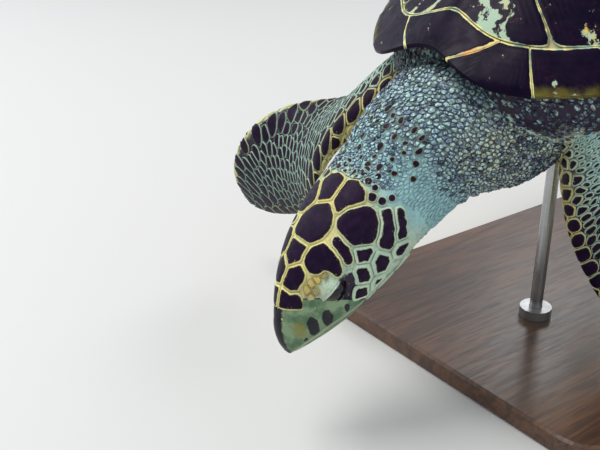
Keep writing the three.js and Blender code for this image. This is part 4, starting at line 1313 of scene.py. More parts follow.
def build_neck_scales(throat):
    """Small granules of nape, neck and throat, crumpled and with painted shade in their gaps where the neck
    bends, and a scatter of round dark scales among those of the nape."""
    def arc_at(run, share):
        return np.abs(share - 0.5) * girth_at(throat, run)

    def calm_at(run, share):
        rough = smooth((run - 205 + 14 * waves(run / 20, share * 14, 59)) / 34)
        return (1 - rough) * ramp(arc_at(run, share), 44, 16) * ramp(np.abs(share - 0.5), 0.4, -0.06)

    def size_at(run, share):
        side, arc, calm = np.abs(share - 0.5), arc_at(run, share), calm_at(run, share)
        size = mix(3.6, 4.7, ramp(run, 205, 55)) * (1 + 0.55 * waves(run / 7, share * 60, 51))
        size = mix(np.where((run < 205) & (side > 0.38), 6.0, size), 4.4, calm)
        scutes = (run < 186) & (side < 0.385)
        nape = (run > 176 + 0.004 * arc**2) & (arc < 92)
        outside = (run < 84) | (scutes & ~nape)
        size = np.where(outside | (side > 0.487), 0, size)
        tilt = (1 - calm) * (0.9 + 2.2 * waves(run / 50, share * 7, 56))
        return np.stack([size, mix(1.13, 1.38, calm), tilt])

    def spot_at(run, share):
        arc = arc_at(run, share)
        room = (arc < 62) & (run > 192) & (run < 252 - 0.2 * arc) & (hashed(run, arc, 3) > 0.4)
        return np.stack([np.where(room, 9.5 + 5 * hashed(arc, run, 4), 0), 1 + 0 * run, 0 * run])
    spots = seeds_on(throat, spot_at, 190, 256, 57, tries=1500)
    seeds = seeds_on(throat, size_at, 84, throat.run[-1] - 4, 52, tries=70000)
    away = np.hypot(seeds[:, :1] - spots[None, :, 0], (seeds[:, 1:2] - spots[None, :, 1]) * 330)
    seeds = seeds[away.min(1) > 0.34 * spots[away.argmin(1), 2]]
    arc = (seeds[:, 1] - 0.5) * girth_at(throat, seeds[:, 0])
    granules("neck_granules", throat, seeds, throat_marks(seeds[:, 0], arc, seeds[:, 1]),
             calm_at(seeds[:, 0], seeds[:, 1]))
    beta = np.linspace(0, TAU, 14, endpoint=False)
    wobble = 1 + 0.12 * np.sin(2 * beta + 9 * spots[:, :1]) + 0.07 * np.sin(3 * beta + 5 * spots[:, :1])
    radius = 0.27 * spots[:, 2:3] * wobble
    girth = girth_at(throat, spots[:, 0])[:, None]
    outline = np.stack([radius * 1.15 * np.cos(beta), radius * np.sin(beta) / girth], -1)
    plates("nape_spots", throat, spots[:, :2], outline, 0.75, "scale",
           dict(dark=1, margin=0.25, tint=0.2, warm=0))


def ring_surface(rings, run=None):
    """A surface from closed rings, its run measured along them unless given, its normals outward."""
    grid = np.concatenate([rings, rings[:, :1]], 1)
    if run is None:
        run = np.concatenate([[0], np.cumsum(norm(np.diff(grid, axis=0)).mean(1))])
    normals = ring_normals(grid)
    normals *= np.sign(np.sum((grid - grid[:, :-1].mean(1, keepdims=True)) * normals))
    return SimpleNamespace(run=run, share=np.linspace(0, 1, grid.shape[1]), points=grid, normals=normals,
                           girth=norm(np.diff(grid, axis=1)).sum(1))


def build_trunk_scales():
    """Finely wrinkled dark granules on the flesh between the two shells."""
    surface = ring_surface(trunk_rings(90, 360)[30:])

    def size_at(run, share):
        z = np.interp(run, surface.run, surface.points[..., 2].mean(1))
        size = 5.7 * (1 + 0.3 * waves(run / 9, share * 160, 55))
        bare = bridge_share((share - 0.5) * TAU) < 0.93
        size = np.where((z < 30) & (z > -88) & bare, size, 0)
        return np.stack([size, 1.35 + 0 * run, 2.5 * waves(run / 50, share * 30, 8)])
    seeds = seeds_on(surface, size_at, 2, surface.run[-1] - 2, 58, tries=26000)
    place = on_surface(surface, seeds[:, 0], seeds[:, 1])[0]
    granules("shoulder_granules", surface, seeds, trunk_marks(place))


def build_flipper_scales(key, surface):
    """A flipper's scales: a row of large ones at the leading edge, long ones across the trailing edge
    and the tip, smaller polygons between, weak ones towards the shoulder and on the underside."""
    length, whole = FLIPPERS[key].length, FLIPPERS[key].scaling

    def size_at(run, share):
        part = run / length
        above = share < LEADING_EDGE
        edge = bell(share, 0.455, 0.05)
        trailing = bell(share, 0.04, 0.07)
        tip = ramp(part, 0.72, 0.16)
        size = mix(8.5, 10.5, ramp(part, 0.3, 0.5)) + 8.5 * edge * ramp(part, 0.02, 0.1)
        size += np.maximum(8 * trailing * ramp(part, 0.25, 0.2), 8 * tip)
        size *= 1 + 0.16 * waves(run / 11, share * 24, 63)
        size = np.where(above, size, np.where(share > 0.93, 13, 10.5))
        size = size * mix(0.62, 1, smooth((part - 0.06) / 0.13 + edge)) * whole
        size = np.where((np.abs(share - LEADING_EDGE) < 0.01) | (share < 0.012) | (share > 0.988), 0, size)
        stretch = 1.22 + 0.12 * above * (1 - edge) + 0.12 * np.maximum(trailing, tip)
        tilt = mix(1.35, 0.8, ramp(share, 0.05, 0.35)) + 0.3 * waves(run / 40, share * 6, 61)
        return np.stack([size, stretch, tilt])

    first = [(run, 0.462) for run in np.arange(24, length * 0.97, 18.5 * whole)]
    seeds = seeds_on(surface, size_at, 6, length * 0.985, 62 + len(key), first, tries=14000)
    outline = cell_outlines(surface, seeds, 16, 14, 14) * 0.982
    part = seeds[:, 0] / length
    marks = flipper_marks(part, seeds[:, 1])
    above = seeds[:, 1] < 0.512
    tone = hashed(np.arange(len(seeds)), 2.0, 8)
    dark = np.where(above, 1.0, np.where(tone > 0.5, 0.9, 0.1))
    margin = np.where(above, mix(1.5, 0.55, ramp(part, 0.1, 0.3)), 2.8)
    margin += above * 0.7 * bell(seeds[:, 1], 0.455, 0.05) * bell(part, 0.2, 0.25)
    layers = dict(dark=dark, margin=margin, tint=marks["tint"], warm=marks["warm"])
    rise = np.clip(0.1 * seeds[:, 2] * whole, 0.5, 1.2)
    plates(f"{key}_flipper_scales", surface, seeds[:, :2], outline, rise, "scale", layers,
           limits=(2.0, length * 0.995))


def build_tail_scales():
    """Small scales over the tail, in loose rings."""
    surface = ring_surface(tail_rings(60, 60), np.linspace(0, 92, 60))

    def size_at(run, share):
        return np.stack([6.5 - 1.5 * run / 92, 1 + 0 * run, 1.5 + 0 * run])
    seeds = seeds_on(surface, size_at, 3, 88, 71, tries=6000)
    outline = cell_outlines(surface, seeds, 10, 12, 10) * 0.95
    above = np.abs((seeds[:, 1] + 0.5) % 1 - 0.5) < 0.3
    plates("tail_scales", surface, seeds[:, :2], outline, 0.7, "scale",
           dict(dark=np.where(above, 0.95, 0.15), margin=0.9, tint=0.6, warm=0.25), limits=(0.5, 91))


# ---------------- carapace

# circles in the plan of the shell, with their radii
VERTEBRALS = [[(0, -262, 62), (-62, -318, 26), (62, -318, 26)], [(0, -150, 66)], [(0, -35, 66)],
              [(0, 82, 62)], [(0, 200, 60), (0, 250, 55)]]
SHELL_PLAN = [640, 860]      # millimetres that the map of the shell covers
BONE_DEPTH = 2.5             # of the bony core under the solid's face
COSTALS = [[(150, -215, 78), (132, -178, 70), (98, -240, 50)], [(176, -92, 84)], [(172, 45, 82)],
           [(140, 178, 76)]]


def build_bone(half, bone, rho, columns, outer_at, inner_at, tone):
    """Bony core of one half of the shell: two faces over the same plan rings, joined at the rim."""
    phi = np.linspace(-math.pi, math.pi, columns + 1)[:-1]
    rings = [outer_at(r + 0 * phi, phi) for r in rho] + [inner_at(r + 0 * phi, phi) for r in rho[::-1]]
    make_piece(f"{half}_bone", *closed_loft(np.stack(rings)), half, core_finish(bone, tone),
               replaced=(half,))


def shell_tile(points_of, middle, outline, rings, profile, growth, margin, tone):
    """One scute: rings of its outline shrunk to its middle, lifted by the profile. points_of maps plan
    places to points and normals."""
    count, spokes = len(rings), len(outline)
    parts = np.concatenate([*(outline * ring for ring in rings), np.zeros((1, 2))])
    where = middle + parts
    point, normal = points_of(where)
    seam = seam_distance(outline[None], parts[None])[0]
    height = profile(where, parts, seam, np.concatenate([np.repeat(np.arange(count), spokes), [count]]))
    away = where - growth
    far = norm(away)
    ray = away / np.maximum(far, 6)[:, None]
    reach = far / np.sqrt((outline**2).sum(-1)).mean()
    layers = dict(seam=seam, reach=reach, ray_x=ray[:, 0], ray_y=ray[:, 1], margin=margin + 0 * seam,
                  tone=tone + 0 * seam, warm=0 * seam, rim=0 * seam, quiet=0 * seam)
    return point + normal * height[:, None], plate_faces(1, spokes, count), layers


def build_scutes(name, half, look, parts, mapped=True):
    """Several closed parts of one half of the shell as one piece, mapped by its plan."""
    points, faces, layers = joined_parts(parts)
    plan = np.clip(points[:, :2] / SHELL_PLAN + 0.5, 0, 1) if mapped else None
    make_piece(name, points, faces, half, finish(look), layers=layers, bake=plan)


SCUTE_RINGS = (0.985, 1.0, 0.992, 0.975, 0.945, 0.9, 0.84, 0.76, 0.66, 0.55, 0.43, 0.3, 0.16)


def over_plan(at, where):
    """Points over plan places and their upward normals, from steps of 1.5 mm to each side."""
    x, y = where[..., 0], where[..., 1]
    return at(x, y), unit(np.cross(at(x + 1.5, y) - at(x - 1.5, y), at(x, y + 1.5) - at(x, y - 1.5)))


def shell_over(where):
    """Shell points and outward normals over plan places."""
    return over_plan(lambda x, y: shell_point(*shell_polar(x, y), serrated=False), where)


def scute_height(where, parts, seam, ring):
    """Scutes overlap like slates: each rises towards its rear edge, its foot sunk into the shell."""
    span = max(np.ptp(parts[:, 1]) / 2, 1)
    rear = ramp(parts[:, 1] / span, -1, 2)
    top = 0.5 + 2.9 * rear**1.5
    ease = smooth(seam / 3.2)
    swell = 1.3 * waves(where[:, 0] / 34, where[:, 1] / 34, 81, 2) * smooth(seam / 14)
    return np.where(ring == 0, -3.2, np.where(ring == 1, 0.15 * top, mix(0.55, 1.0, ease) * top + swell))


def build_carapace():
    """The shell: a bony core inside the solid's face, overlapping vertebral and costal scutes on it,
    and round the saw-toothed rim a nuchal scute over the neck and twelve pairs of marginals."""
    build_bone("carapace", "shell bone", (0.02, 0.15, 0.3, 0.45, 0.6, 0.72, 0.82, 0.9, 0.95, 0.975), 240,
               lambda rho, phi: shell_point(rho, phi, False) - [0, 0, BONE_DEPTH], shell_inside,
               (208, 198, 146))
    groups = VERTEBRALS + [[(side * x, y, r) for x, y, r in g] for g in COSTALS for side in (1, -1)]

    def allowed(x, y):
        return shell_polar(x, y)[0] < MARGIN_LINE
    middle, offset = grouped_outlines(groups, 180, allowed, grown=400, step=0.7, longest=260, soften=1.6)
    parts = []
    for k, (m, o) in enumerate(zip(middle, offset)):
        o = o - 0.05 * unit(o)
        growth = m + [0.30 * abs(o[:, 0]).max() * np.sign(-m[0]) * (abs(m[0]) > 20), 0.42 * o[:, 1].max()]
        parts.append(shell_tile(shell_over, m, o, SCUTE_RINGS, scute_height, growth, 0.5, hashed(k, 1, 9)))
    build_scutes("carapace_scutes", "carapace", "shell", parts)
    build_scutes("marginal_scutes", "carapace", "shell", marginal_tubes(), mapped=False)


NUCHAL_HALF = 0.29           # angle to each side at its inner line
MARGIN_WIDTH = 34.0          # millimetres from the inner line to the rim
SCUTE_GAP = 0.0009           # angle left between two scutes


def marginal_tubes():
    """Marginal scutes as closed tubes: at each angle a loop runs from the inner line over the top to
    the rim and back below; the loops between two borders make one scute, standing proud at its rear."""
    inner = np.interp(np.arange(13), [0, 1, 2, 11, 12], [NUCHAL_HALF, 0.40, 0.62, 2.96, math.pi])
    scutes = [(-NUCHAL_HALF, NUCHAL_HALF, -BORDERS[1], BORDERS[1], 0)]
    scutes += [(*side * inner[k:k + 2], *side * BORDERS[k + 1:k + 3], k + 1)
               for side in (1, -1) for k in range(len(BORDERS) - 2)]
    u = np.array([0, 0.004, 0.015, 0.035, *np.linspace(0.07, 0.93, 22), 0.965, 0.985, 0.996, 1])
    over = [0, 0.02, 0.06, 0.13, *np.linspace(0.2, 0.94, 13), 0.975, 0.992]
    under = [1.0, 0.97, 0.9, 0.75, 0.55, 0.35]
    U, V = np.meshgrid(u, over + under, indexing="ij")
    below = np.arange(V.shape[1]) >= len(over)
    parts = []
    for tag, (i0, i1, o0, o1, kind) in enumerate(scutes):
        gap = SCUTE_GAP * np.sign(o1 - o0)
        rho = np.where(below, mix(MARGIN_LINE - 0.01, 0.999, V), mix(MARGIN_LINE + 0.0025, 1.0, V))
        phi = mix(mix(i0 + gap, i1 - gap, U), mix(o0 + gap, o1 - gap, U), V)
        outward = shell_point(np.minimum(rho + 0.002, 1), phi) - shell_point(rho - 0.002, phi)
        onward = shell_point(rho, phi + 0.004, False) - shell_point(rho, phi - 0.004, False)
        normal = unit(np.cross(outward, onward))
        normal *= np.sign(normal[..., 2:])
        length = norm(np.diff(shell_point(np.full(9, 0.95), np.linspace(o0, o1, 9)), axis=0)).sum()
        seam = np.minimum(np.minimum(U, 1 - U) * length, np.where(below, 5, V * MARGIN_WIDTH))
        rear = U if kind else np.full_like(U, 0.4)
        proud = (0.5 + 2.4 * smooth(rear) ** 1.5) * mix(0.5, 1, smooth(np.minimum(seam, 4) / 3.2))
        proud *= 1 - 0.7 * ramp(V, 0.85, 0.15)
        thick = (5 + 6 * smooth(1 - V)) * smooth((1.02 - V) / 0.12 + 0.35) + 0.4
        lift = np.where(below[:, None], [0, 0, -1] * thick[..., None], normal * proud[..., None])
        rings = shell_point(rho, phi) + lift
        shrink = mix(0.9, 1.0, smooth(np.minimum(u, 1 - u) / 0.004))[:, None, None]
        hub = rings.mean(1, keepdims=True)
        points, faces = closed_loft(hub + (rings - hub) * shrink)
        growth_u, growth_v = (0.86, 0.9) if kind else (0.5, 1.0)
        du, dv = (U - growth_u) * length, (V - growth_v) * MARGIN_WIDTH
        far = np.hypot(du, dv)
        warm = bell(U, 1, 0.06) * (kind == 0) + bell(U, 0, 0.1) * (kind == 1) * (i0 > 0)
        values = dict(
            seam=seam, reach=np.where(below, 0.1, far / (0.5 * length)), margin=0.7, tone=hashed(tag, 2, 4),
            ray_x=np.where(below, 1, du / np.maximum(far, 5)),
            ray_y=np.where(below, 0, dv / np.maximum(far, 5)),
            warm=np.where(below, 0, warm * bell(V, 0.45, 0.3)), rim=np.where(below, 1, V) * (kind > 1),
            quiet={0: 1, 1: 0.9, 2: 0.7}.get(kind, 0))
        values = {key: value + 0 * U for key, value in values.items()}
        parts.append((points, faces, {key: np.concatenate([v.ravel(), [v[0].mean(), v[-1].mean()]])
                                      for key, v in values.items()}))
    return parts


# ---------------- plastron

BELLY_SCUTES = {
    "intergular": [(0, -262, 16)],
    "gular": [(44, -246, 34)], "humeral": [(66, -178, 52)], "pectoral": [(68, -88, 56)],
    "abdominal": [(66, 12, 58)], "femoral": [(62, 112, 54)], "anal": [(40, 205, 48), (26, 250, 30)],
    "inframarginal 1": [(152, -92, 30)], "inframarginal 2": [(172, -28, 34)],
    "inframarginal 3": [(174, 40, 34)], "inframarginal 4": [(150, 104, 30)],
}


def belly_over(where):
    """Plastron points and downward normals under plan places."""
    point, normal = over_plan(lambda x, y: plastron_point(*belly_polar(x, y)), where)
    return point, -normal


def belly_height(where, parts, seam, ring):
    """Belly scutes lie side by side, their rims low and their middles gently waved."""
    swell = 0.6 * waves(where[:, 0] / 30, where[:, 1] / 30, 91, 2) * smooth(seam / 12)
    top = 0.9 * mix(0.5, 1, smooth(seam / 3.5)) + swell
    return np.where(ring == 0, -3.0, np.where(ring == 1, 0.1, top))


def build_plastron():
    """The belly: a bony core just inside the solid, an intergular scute and ten to a side behind it."""
    build_bone("plastron", "belly bone", (0.03, 0.2, 0.4, 0.6, 0.75, 0.88, 0.97), 160,
               lambda rho, phi: plastron_point(rho, phi, 1.2), lambda rho, phi: plastron_point(rho, phi, 7.5),
               (196, 182, 140))
    groups = [[(side * x, y, r) for x, y, r in circles] for name, circles in BELLY_SCUTES.items()
              for side in ((1,) if name == "intergular" else (1, -1))]

    def allowed(x, y):
        return belly_polar(x, y)[0] < 0.985
    middle, offset = grouped_outlines(groups, 120, allowed, grown=300, step=0.7, longest=200, soften=1.4)
    build_scutes("plastron_scutes", "plastron", "belly", [
        shell_tile(belly_over, m, o - 0.6 * unit(o), SCUTE_RINGS[:9], belly_height, m, 1.5, hashed(k, 3, 9))
        for k, (m, o) in enumerate(zip(middle, offset))])


# ---------------- eyes, beak, claws


def build_eyes():
    """Eyeballs as spheres about the outward axis, the ring attribute growing from the pupil."""
    for side, name in ((1, "left"), (-1, "right")):
        out, lengthwise, upward = eye_axes(side)
        theta = np.linspace(0.03, math.pi - 0.03, 40)[:, None]
        turn = np.linspace(0, TAU, 49)[None, :-1]
        ball = (np.cos(theta)[..., None] * out + (np.sin(theta) * np.cos(turn))[..., None] * lengthwise
                + (np.sin(theta) * np.sin(turn))[..., None] * upward)
        bulge = 1 + 0.035 * bell(theta, 0, 0.42)
        local = EYE_PLACE * [side, 1, 1] + ball * ((EYE_RADIUS - 0.2) * bulge)[..., None]
        points, faces = closed_loft(headed(local))
        ring = np.sin(theta) * np.where(theta < math.pi / 2, 1, 1.2) + 0 * turn
        ring = np.concatenate([ring.ravel(), [0, 1.2]])
        make_piece(f"eyeball_{name}", points, faces, "eye", finish("eye"), replaced=(f"eye_{name}",),
                   layers=dict(ring=ring))


def beak_shape(back, height, side):
    """Head point at a distance behind the tip and a height, found between two steps of the section."""
    last = 360
    angle = np.broadcast_to(np.linspace(0, math.pi, last + 1), (*back.shape, last + 1))
    ring = head_point(back[..., None], angle)
    reached = ring[..., 2] <= height[..., None]
    k = np.where(reached.any(-1), np.argmax(reached, axis=-1), last)
    above, below = (np.take_along_axis(ring, i[..., None, None], -2)[..., 0, :]
                    for i in (np.maximum(k - 1, 0), k))
    part = np.clip((above[..., 2] - height) / np.maximum(above[..., 2] - below[..., 2], 1e-6), 0, 1)
    p = mix(above, below, part[..., None])
    p[..., 0] = np.maximum(p[..., 0], 0) * side
    return p


# ovals on the beak: distance behind the tip, height, half length, half width
BEAK_MARKS = {"stroke": [(36.5, -12, 13, 5.2), (51, -14, 11.5, 5), (70, -19, 6, 2.6), (21, -22, 4, 2)],
              "blotch": [(26, -7, 14, 7.5)]}
SHEATH_THICKNESS = 3.2
# distance behind the tip and off the middle, width of the bell that sinks it, and its depth
NOSTRIL_BACK, NOSTRIL_ASIDE, NOSTRIL_WIDTH, NOSTRIL_DEPTH = 24, 6.2, 2.1, 2.2


def build_beak():
    """Horny sheaths of both jaws: a sheet over each jaw from its rear edge to the tip, from the ridge
    or chin to the cutting edge, given thickness inwards, the nostrils sunk in the upper one."""
    runs = np.concatenate([[0], np.linspace(0, 1, 70)[1:] ** 1.15])
    A, R = np.meshgrid(np.linspace(-1, 1, 121), runs, indexing="ij")
    fan, side = np.abs(A), np.where(A < 0, -1, 1)
    for name, upper in (("beak_upper", True), ("beak_lower", False)):
        tip, near_end, far_end = (0.6, 30, 87.5) if upper else (5.5, 34, 86.5)
        far = mix(near_end, far_end, fan**0.85)
        back = mix(tip, far, R)
        ridge, chin = np.moveaxis(along(HEAD_STATIONS, back), -1, 0)[:2]
        mouth = np.interp(back, MOUTH_LINE[:, 0], MOUTH_LINE[:, 1])
        if upper:
            height = mix(ridge, mouth - 1.2 * bell(back, 20, 26), fan**1.25)
            p = beak_shape(back, height, side)
        else:
            height = mix(chin, mouth - 1.0, fan**1.1)
            p = np.where((height <= chin + 0.02)[..., None], np.stack([0 * back, back, chin], -1),
                         beak_shape(back, np.maximum(height, chin + 0.02), side))
        normal = sheet_normals(p)
        centre = np.stack([0 * back, back + 18, (ridge + chin) / 2], -1)
        normal *= np.sign(np.sum(normal * (p - centre), -1, keepdims=True))
        aside = np.abs(p[..., 0])
        nostril = np.hypot(back - NOSTRIL_BACK, (aside - NOSTRIL_ASIDE) * 1.25)
        rise = 0.9 * ramp(np.minimum(far - back, 6) / 6, -0.2, 0.7) + 0.25 * waves(back / 5, A * 9, 15)
        rise = rise - upper * NOSTRIL_DEPTH * bell(nostril, 0, NOSTRIL_WIDTH)
        layers = dict(edge=np.abs(height - mouth), ridge=aside if upper else 30 + 0 * aside, rim=far - back)
        for key, ovals in BEAK_MARKS.items():
            layers[key] = np.max([1 - np.hypot((0.5 * (back - b) + 0.86 * (height - h)) / long,
                                               (0.86 * (back - b) - 0.5 * (height - h)) / wide)
                                  for b, h, long, wide in ovals], 0)
        points, faces = slab_of(headed(p + normal * rise[..., None]), headed(p - normal * SHEATH_THICKNESS))
        make_piece(f"{name}_sheath", points, faces, "beak", finish("sheath"), replaced=(name,),
                   layers={key: np.tile(v.ravel(), 2) for key, v in layers.items()})


def build_claws():
    """Claws at the leading edges: tapering tubes leaning back with the square of their length."""
    for key, limb in FLIPPERS.items():
        for number, (place, size) in enumerate(limb.claws, 1):
            share = np.array(place)
            root = flipper_point(limb, share, np.array(math.pi))
            _, span, face = flipper_frame(limb, share)
            ahead = -np.cross(face, span) * limb.side
            t = np.linspace(-0.25, 1, 26)[:, None]
            a = np.linspace(0, TAU, 21)[None, :-1]
            reach = np.clip(t, 0, 1)
            radius = 0.27 * size * (1 - 0.85 * reach) * np.sqrt(np.clip(1 - ramp(t, 0.93, 0.075), 0.02, 1))
            ridge = 1 + 0.05 * np.cos(3 * a) + 0.03 * np.sin(t * 46)
            points = (root + ahead * (size * t)[..., None] + span * (0.5 * size * reach**2)[..., None]
                      + span * (radius * ridge * np.cos(a))[..., None]
                      + face * (0.8 * radius * ridge * np.sin(a))[..., None])
            make_piece(f"{key}_claw_{number}", *closed_loft(points), "claw", finish("claw"),
                       replaced=(f"claw_{key}_{number}",))


# ---------------- finishes kept once each

MADE = {}
FINISHES = {"skin": skin_finish, "scale": scale_finish, "granule": granule_finish, "shell": shell_finish,
            "belly": belly_finish, "sheath": sheath_finish, "eye": eye_finish, "claw": claw_finish}


def finish(name):
    """A finish by its name, made when first asked for."""
    if name not in MADE:
        MADE[name] = FINISHES[name]()
    return MADE[name]


def surfaces():
    """The throat's and flippers' surfaces, worked out once and shared by skin and scales."""
    if "surfaces" not in MADE:
        sizes = bpy.context.scene.turtle_sizes
        throat = build_throat(sizes.skin_columns)
        MADE["surfaces"] = throat, {key: build_flipper(limb) for key, limb in FLIPPERS.items()}
    return MADE["surfaces"]


# ---------------- stage

# where it hangs, power, place, width and tint
LAMPS = {
    "key": ("in front", 66.0, (-0.7, -1.5, 2.9), 1.5, (1, 0.98, 0.95)),
    "fill": ("at the right", 18.0, (2.6, 0.2, 1.5), 2.2, (0.93, 0.97, 1)),
    "back": ("behind", 30.0, (-1.2, 2.4, 2.4), 1.8, (1, 1, 1)),
    "side": ("at the left", 22.0, (-2.6, -0.9, 1.4), 2.0, (0.95, 0.98, 1)),
}
FLOOR_REACH = 9.0     # metres from its middle to each side
CAMERA_ROLL = 0.9     # degrees


def build_stage(look):
    """Pale floor, four soft lamps and the camera."""
    f = Finish("studio floor")
    base = f.mix((0.9, 3), (*look.floor, 1), (*(0.97 * np.array(look.floor)), 1))
    paper = f.close(base, 0.85, (((60, 3), 0.05, 0.001),))
    corners = ((-FLOOR_REACH, -FLOOR_REACH), (FLOOR_REACH, -FLOOR_REACH), (FLOOR_REACH, FLOOR_REACH),
               (-FLOOR_REACH, FLOOR_REACH))
    points = np.array([(x, y, z) for z in (-0.03, 0.0) for x, y in corners])
    faces = [np.array([[4, 5, 6, 7], [3, 2, 1, 0], [0, 1, 5, 4], [1, 2, 6, 5], [2, 3, 7, 6], [3, 0, 4, 7]])]
    make_piece("studio_floor", points, faces, None, paper)
    middle = np.array([0.05, -0.15, 0.4])
    for name, (_, _, place, width, tint) in LAMPS.items():
        lamp = bpy.data.lights.new(name, "AREA")
        lamp.size, lamp.energy, lamp.color = width, getattr(look, f"{name}_power"), tint
        put(name, lamp, facing(np.array(place, float), middle))
    world = bpy.data.worlds.new("studio")
    world.use_nodes = True
    world.node_tree.nodes["Background"].inputs[0].default_value = (0.86, 0.9, 0.95, 1)
    world.node_tree.nodes["Background"].inputs[1].default_value = look.room_light
    bpy.context.scene.world = world
    camera = bpy.data.cameras.new("camera")
    camera.lens, camera.sensor_width, camera.clip_start = look.lens, 36.0, 0.01
    bpy.context.scene.camera = put("camera", camera, facing(
        np.array(look.camera_place), np.array(look.camera_target), math.radians(CAMERA_ROLL)))
    bpy.context.scene.view_settings.view_transform = "Standard"


def facing(place, target, roll=0.0):
    """Matrix of something at a place that looks at a target along its own -Z, rolled about that."""
    back = unit(place - target)
    right = unit(np.cross([0, 0, 1.0], back))
    up = np.cross(back, right)
    right, up = right * math.cos(roll) + up * math.sin(roll), up * math.cos(roll) - right * math.sin(roll)
    matrix = np.eye(4)
    matrix[:3, 0], matrix[:3, 1], matrix[:3, 2], matrix[:3, 3] = right, up, back, place
    return Matrix(matrix.tolist())


# ---------------- add-on


class TurtleSizes(bpy.types.PropertyGroup):
    """How finely the skin is made."""
    skin_columns: IntProperty(
        name="Skin columns", description="Points round the head and neck", default=260, min=80)


PAINTS = {
    "pale_blue": ("Pale skin", "Bare skin of the neck", (160, 206, 208)),
    "cream": ("Cream", "Borders of the head scutes", (238, 228, 156)),
    "pale_shade": ("Shaded skin", "Mottling of the pale skin", (102, 152, 148)),
    "yellow": ("Yellow", "Yellow accents", (214, 182, 84)),
    "lavender": ("Lavender", "Duller granules of the neck", (104, 134, 170)),
    # colour of the painted highlight on the neck's granules
    "glint": ("Glint", "Lit folds of the neck's granules", (206, 240, 236)),
    "orange": ("Orange", "Warm border of the first marginals", (226, 120, 28)),
    # colour of the painted shade in the gaps between the neck's granules, and of their dark flecks
    "crease": ("Crease", "Gaps between the neck's granules", (50, 44, 76)),
    "olive": ("Olive", "Fringe of the dark scutes, blotches of the beak", (132, 122, 46)),
    "aubergine": ("Aubergine", "Dark horn of the scales", (22, 7, 34)),
    "aubergine_light": ("Lighter aubergine", "Clouds in the dark horn", (38, 18, 48)),
    "seam_blue": ("Seam", "Thin line between scales", (36, 44, 84)),
    "shell_dark": ("Shell dark", "Darkest horn of the shell", (11, 3, 27)),
    "shell_brown": ("Shell brown", "Brown clouds of the shell", (25, 9, 34)),
    "amber": ("Amber", "Amber of the tortoiseshell", (132, 76, 32)),
    "splash": ("Splash", "Pale splashes of the shell", (164, 188, 164)),
}


class TurtleColours(bpy.types.PropertyGroup):
    """Colours of skin, scales and shell."""
    __annotations__ = {key: FloatVectorProperty(
        name=label, description=text, subtype="COLOR", size=3, default=colour(*rgb)[:3])
        for key, (label, text, rgb) in PAINTS.items()}


class TurtleLook(bpy.types.PropertyGroup):
    """Studio and camera."""
    __annotations__ = {
        **{f"{name}_power": FloatProperty(
            name=f"{name.capitalize()} lamp", description=f"Power of the lamp {where}", default=power,
            unit="POWER") for name, (where, power, *_) in LAMPS.items()},
        "floor": FloatVectorProperty(
            name="Floor", description="Colour of the floor", subtype="COLOR", size=3,
            default=(0.64, 0.64, 0.63)),
        "room_light": FloatProperty(
            name="Room light", description="Strength of the even room light", default=0.55),
        "lens": FloatProperty(name="Lens", description="Focal length in millimetres", default=60.0),
        "camera_place": FloatVectorProperty(
            name="Camera", description="Where the camera stands", size=3, subtype="TRANSLATION",
            unit="LENGTH", default=(0.69395, -1.01212, 0.65832)),
        "camera_target": FloatVectorProperty(
            name="Target", description="Where the camera looks", size=3, subtype="TRANSLATION",
            unit="LENGTH", default=(-0.02565, -0.46122, 0.23552)),
    }


class PieceOperator:
    """What the operators share. One that can't finish raises an error, which stops the script."""
    bl_options = {"REGISTER", "UNDO"}


class TURTLE_OT_skin(PieceOperator, bpy.types.Operator):
    """Build the one closed skin of head, neck, trunk, flippers and tail"""
    bl_idname, bl_label = "turtle.skin", "Skin"

    def execute(self, context):
        build_skin(*surfaces())
        return {"FINISHED"}


class TURTLE_OT_head_scutes(PieceOperator, bpy.types.Operator):
    """Build the large horny scutes of the head"""
    bl_idname, bl_label = "turtle.head_scutes", "Head scutes"

    def execute(self, context):
        build_head_scutes(surfaces()[0])
        return {"FINISHED"}


class TURTLE_OT_neck_scales(PieceOperator, bpy.types.Operator):
    """Build the granules of neck and shoulders and the small scales of the tail"""
    bl_idname, bl_label = "turtle.neck_scales", "Neck, shoulder and tail scales"

    def execute(self, context):
        build_neck_scales(surfaces()[0])
        build_trunk_scales()
        build_tail_scales()
        return {"FINISHED"}


class TURTLE_OT_flipper_scales(PieceOperator, bpy.types.Operator):
    """Build the scales of all four flippers"""
    bl_idname, bl_label = "turtle.flipper_scales", "Flipper scales"

    def execute(self, context):
        for key, surface in surfaces()[1].items():
            build_flipper_scales(key, surface)
        return {"FINISHED"}


class TURTLE_OT_carapace(PieceOperator, bpy.types.Operator):
    """Build the upper shell with its overlapping scutes"""
    bl_idname, bl_label = "turtle.carapace", "Carapace"

    def execute(self, context):
        build_carapace()
        return {"FINISHED"}


class TURTLE_OT_plastron(PieceOperator, bpy.types.Operator):
    """Build the belly shell with its scutes"""
    bl_idname, bl_label = "turtle.plastron", "Plastron"

    def execute(self, context):
        build_plastron()
        return {"FINISHED"}


class TURTLE_OT_eyes(PieceOperator, bpy.types.Operator):
    """Build both eyeballs"""
    bl_idname, bl_label = "turtle.eyes", "Eyes"

    def execute(self, context):
        build_eyes()
        return {"FINISHED"}


class TURTLE_OT_beak(PieceOperator, bpy.types.Operator):
    """Build the horny sheaths of both jaws"""
    bl_idname, bl_label = "turtle.beak", "Beak"

    def execute(self, context):
        build_beak()
        return {"FINISHED"}


class TURTLE_OT_claws(PieceOperator, bpy.types.Operator):
    """Build the eight claws"""
    bl_idname, bl_label = "turtle.claws", "Claws"

    def execute(self, context):
        build_claws()
        return {"FINISHED"}


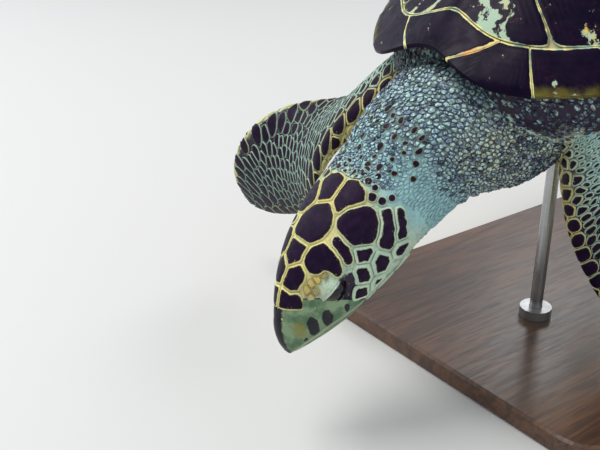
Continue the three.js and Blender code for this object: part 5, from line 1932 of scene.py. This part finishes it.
class TURTLE_OT_stand(PieceOperator, bpy.types.Operator):
    """Give the display stand its wood, steel and rubber"""
    bl_idname, bl_label = "turtle.stand", "Stand"

    def execute(self, context):
        finishes = {"base": wood_finish(), "rod": steel_finish(), "pad": rubber_finish()}
        finishes["collar"] = finishes["rod"]
        for name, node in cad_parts.items():
            if name.startswith("stand_"):
                for holder in node.material_slots:
                    holder.material = finishes[name.split("_")[1]]
        return {"FINISHED"}


class TURTLE_OT_stage(PieceOperator, bpy.types.Operator):
    """Build the floor, the lamps and the camera"""
    bl_idname, bl_label = "turtle.stage", "Stage"

    def execute(self, context):
        build_stage(context.scene.turtle_look)
        return {"FINISHED"}


PIECES = (TURTLE_OT_skin, TURTLE_OT_head_scutes, TURTLE_OT_neck_scales, TURTLE_OT_flipper_scales,
          TURTLE_OT_carapace, TURTLE_OT_plastron, TURTLE_OT_eyes, TURTLE_OT_beak, TURTLE_OT_claws,
          TURTLE_OT_stand, TURTLE_OT_stage)
GROUPS = {"turtle_sizes": TurtleSizes, "turtle_colours": TurtleColours, "turtle_look": TurtleLook}


class TURTLE_PT_panel(bpy.types.Panel):
    """Sizes, colours and pieces of the turtle"""
    bl_label = "Hawksbill turtle"
    bl_idname = "TURTLE_PT_panel"
    bl_space_type, bl_region_type, bl_category = "VIEW_3D", "UI", "Turtle"

    def draw(self, context):
        for key in GROUPS:
            box = self.layout.box()
            for name in GROUPS[key].__annotations__:
                box.prop(getattr(context.scene, key), name)
        for piece in PIECES:
            self.layout.operator(piece.bl_idname)


def register():
    """The classes, then the settings that the scene holds."""
    for kind in (*GROUPS.values(), *PIECES, TURTLE_PT_panel):
        bpy.utils.register_class(kind)
    for key, kind in GROUPS.items():
        setattr(bpy.types.Scene, key, PointerProperty(type=kind))


def unregister():
    """The settings, then the classes."""
    for key in GROUPS:
        delattr(bpy.types.Scene, key)
    for kind in (TURTLE_PT_panel, *reversed(PIECES), *GROUPS.values()):
        bpy.utils.unregister_class(kind)


def main():
    """Register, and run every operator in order."""
    register()
    for piece in PIECES:
        group, name = piece.bl_idname.split(".")
        getattr(getattr(bpy.ops, group), name)()


if __name__ == "__main__":
    main()
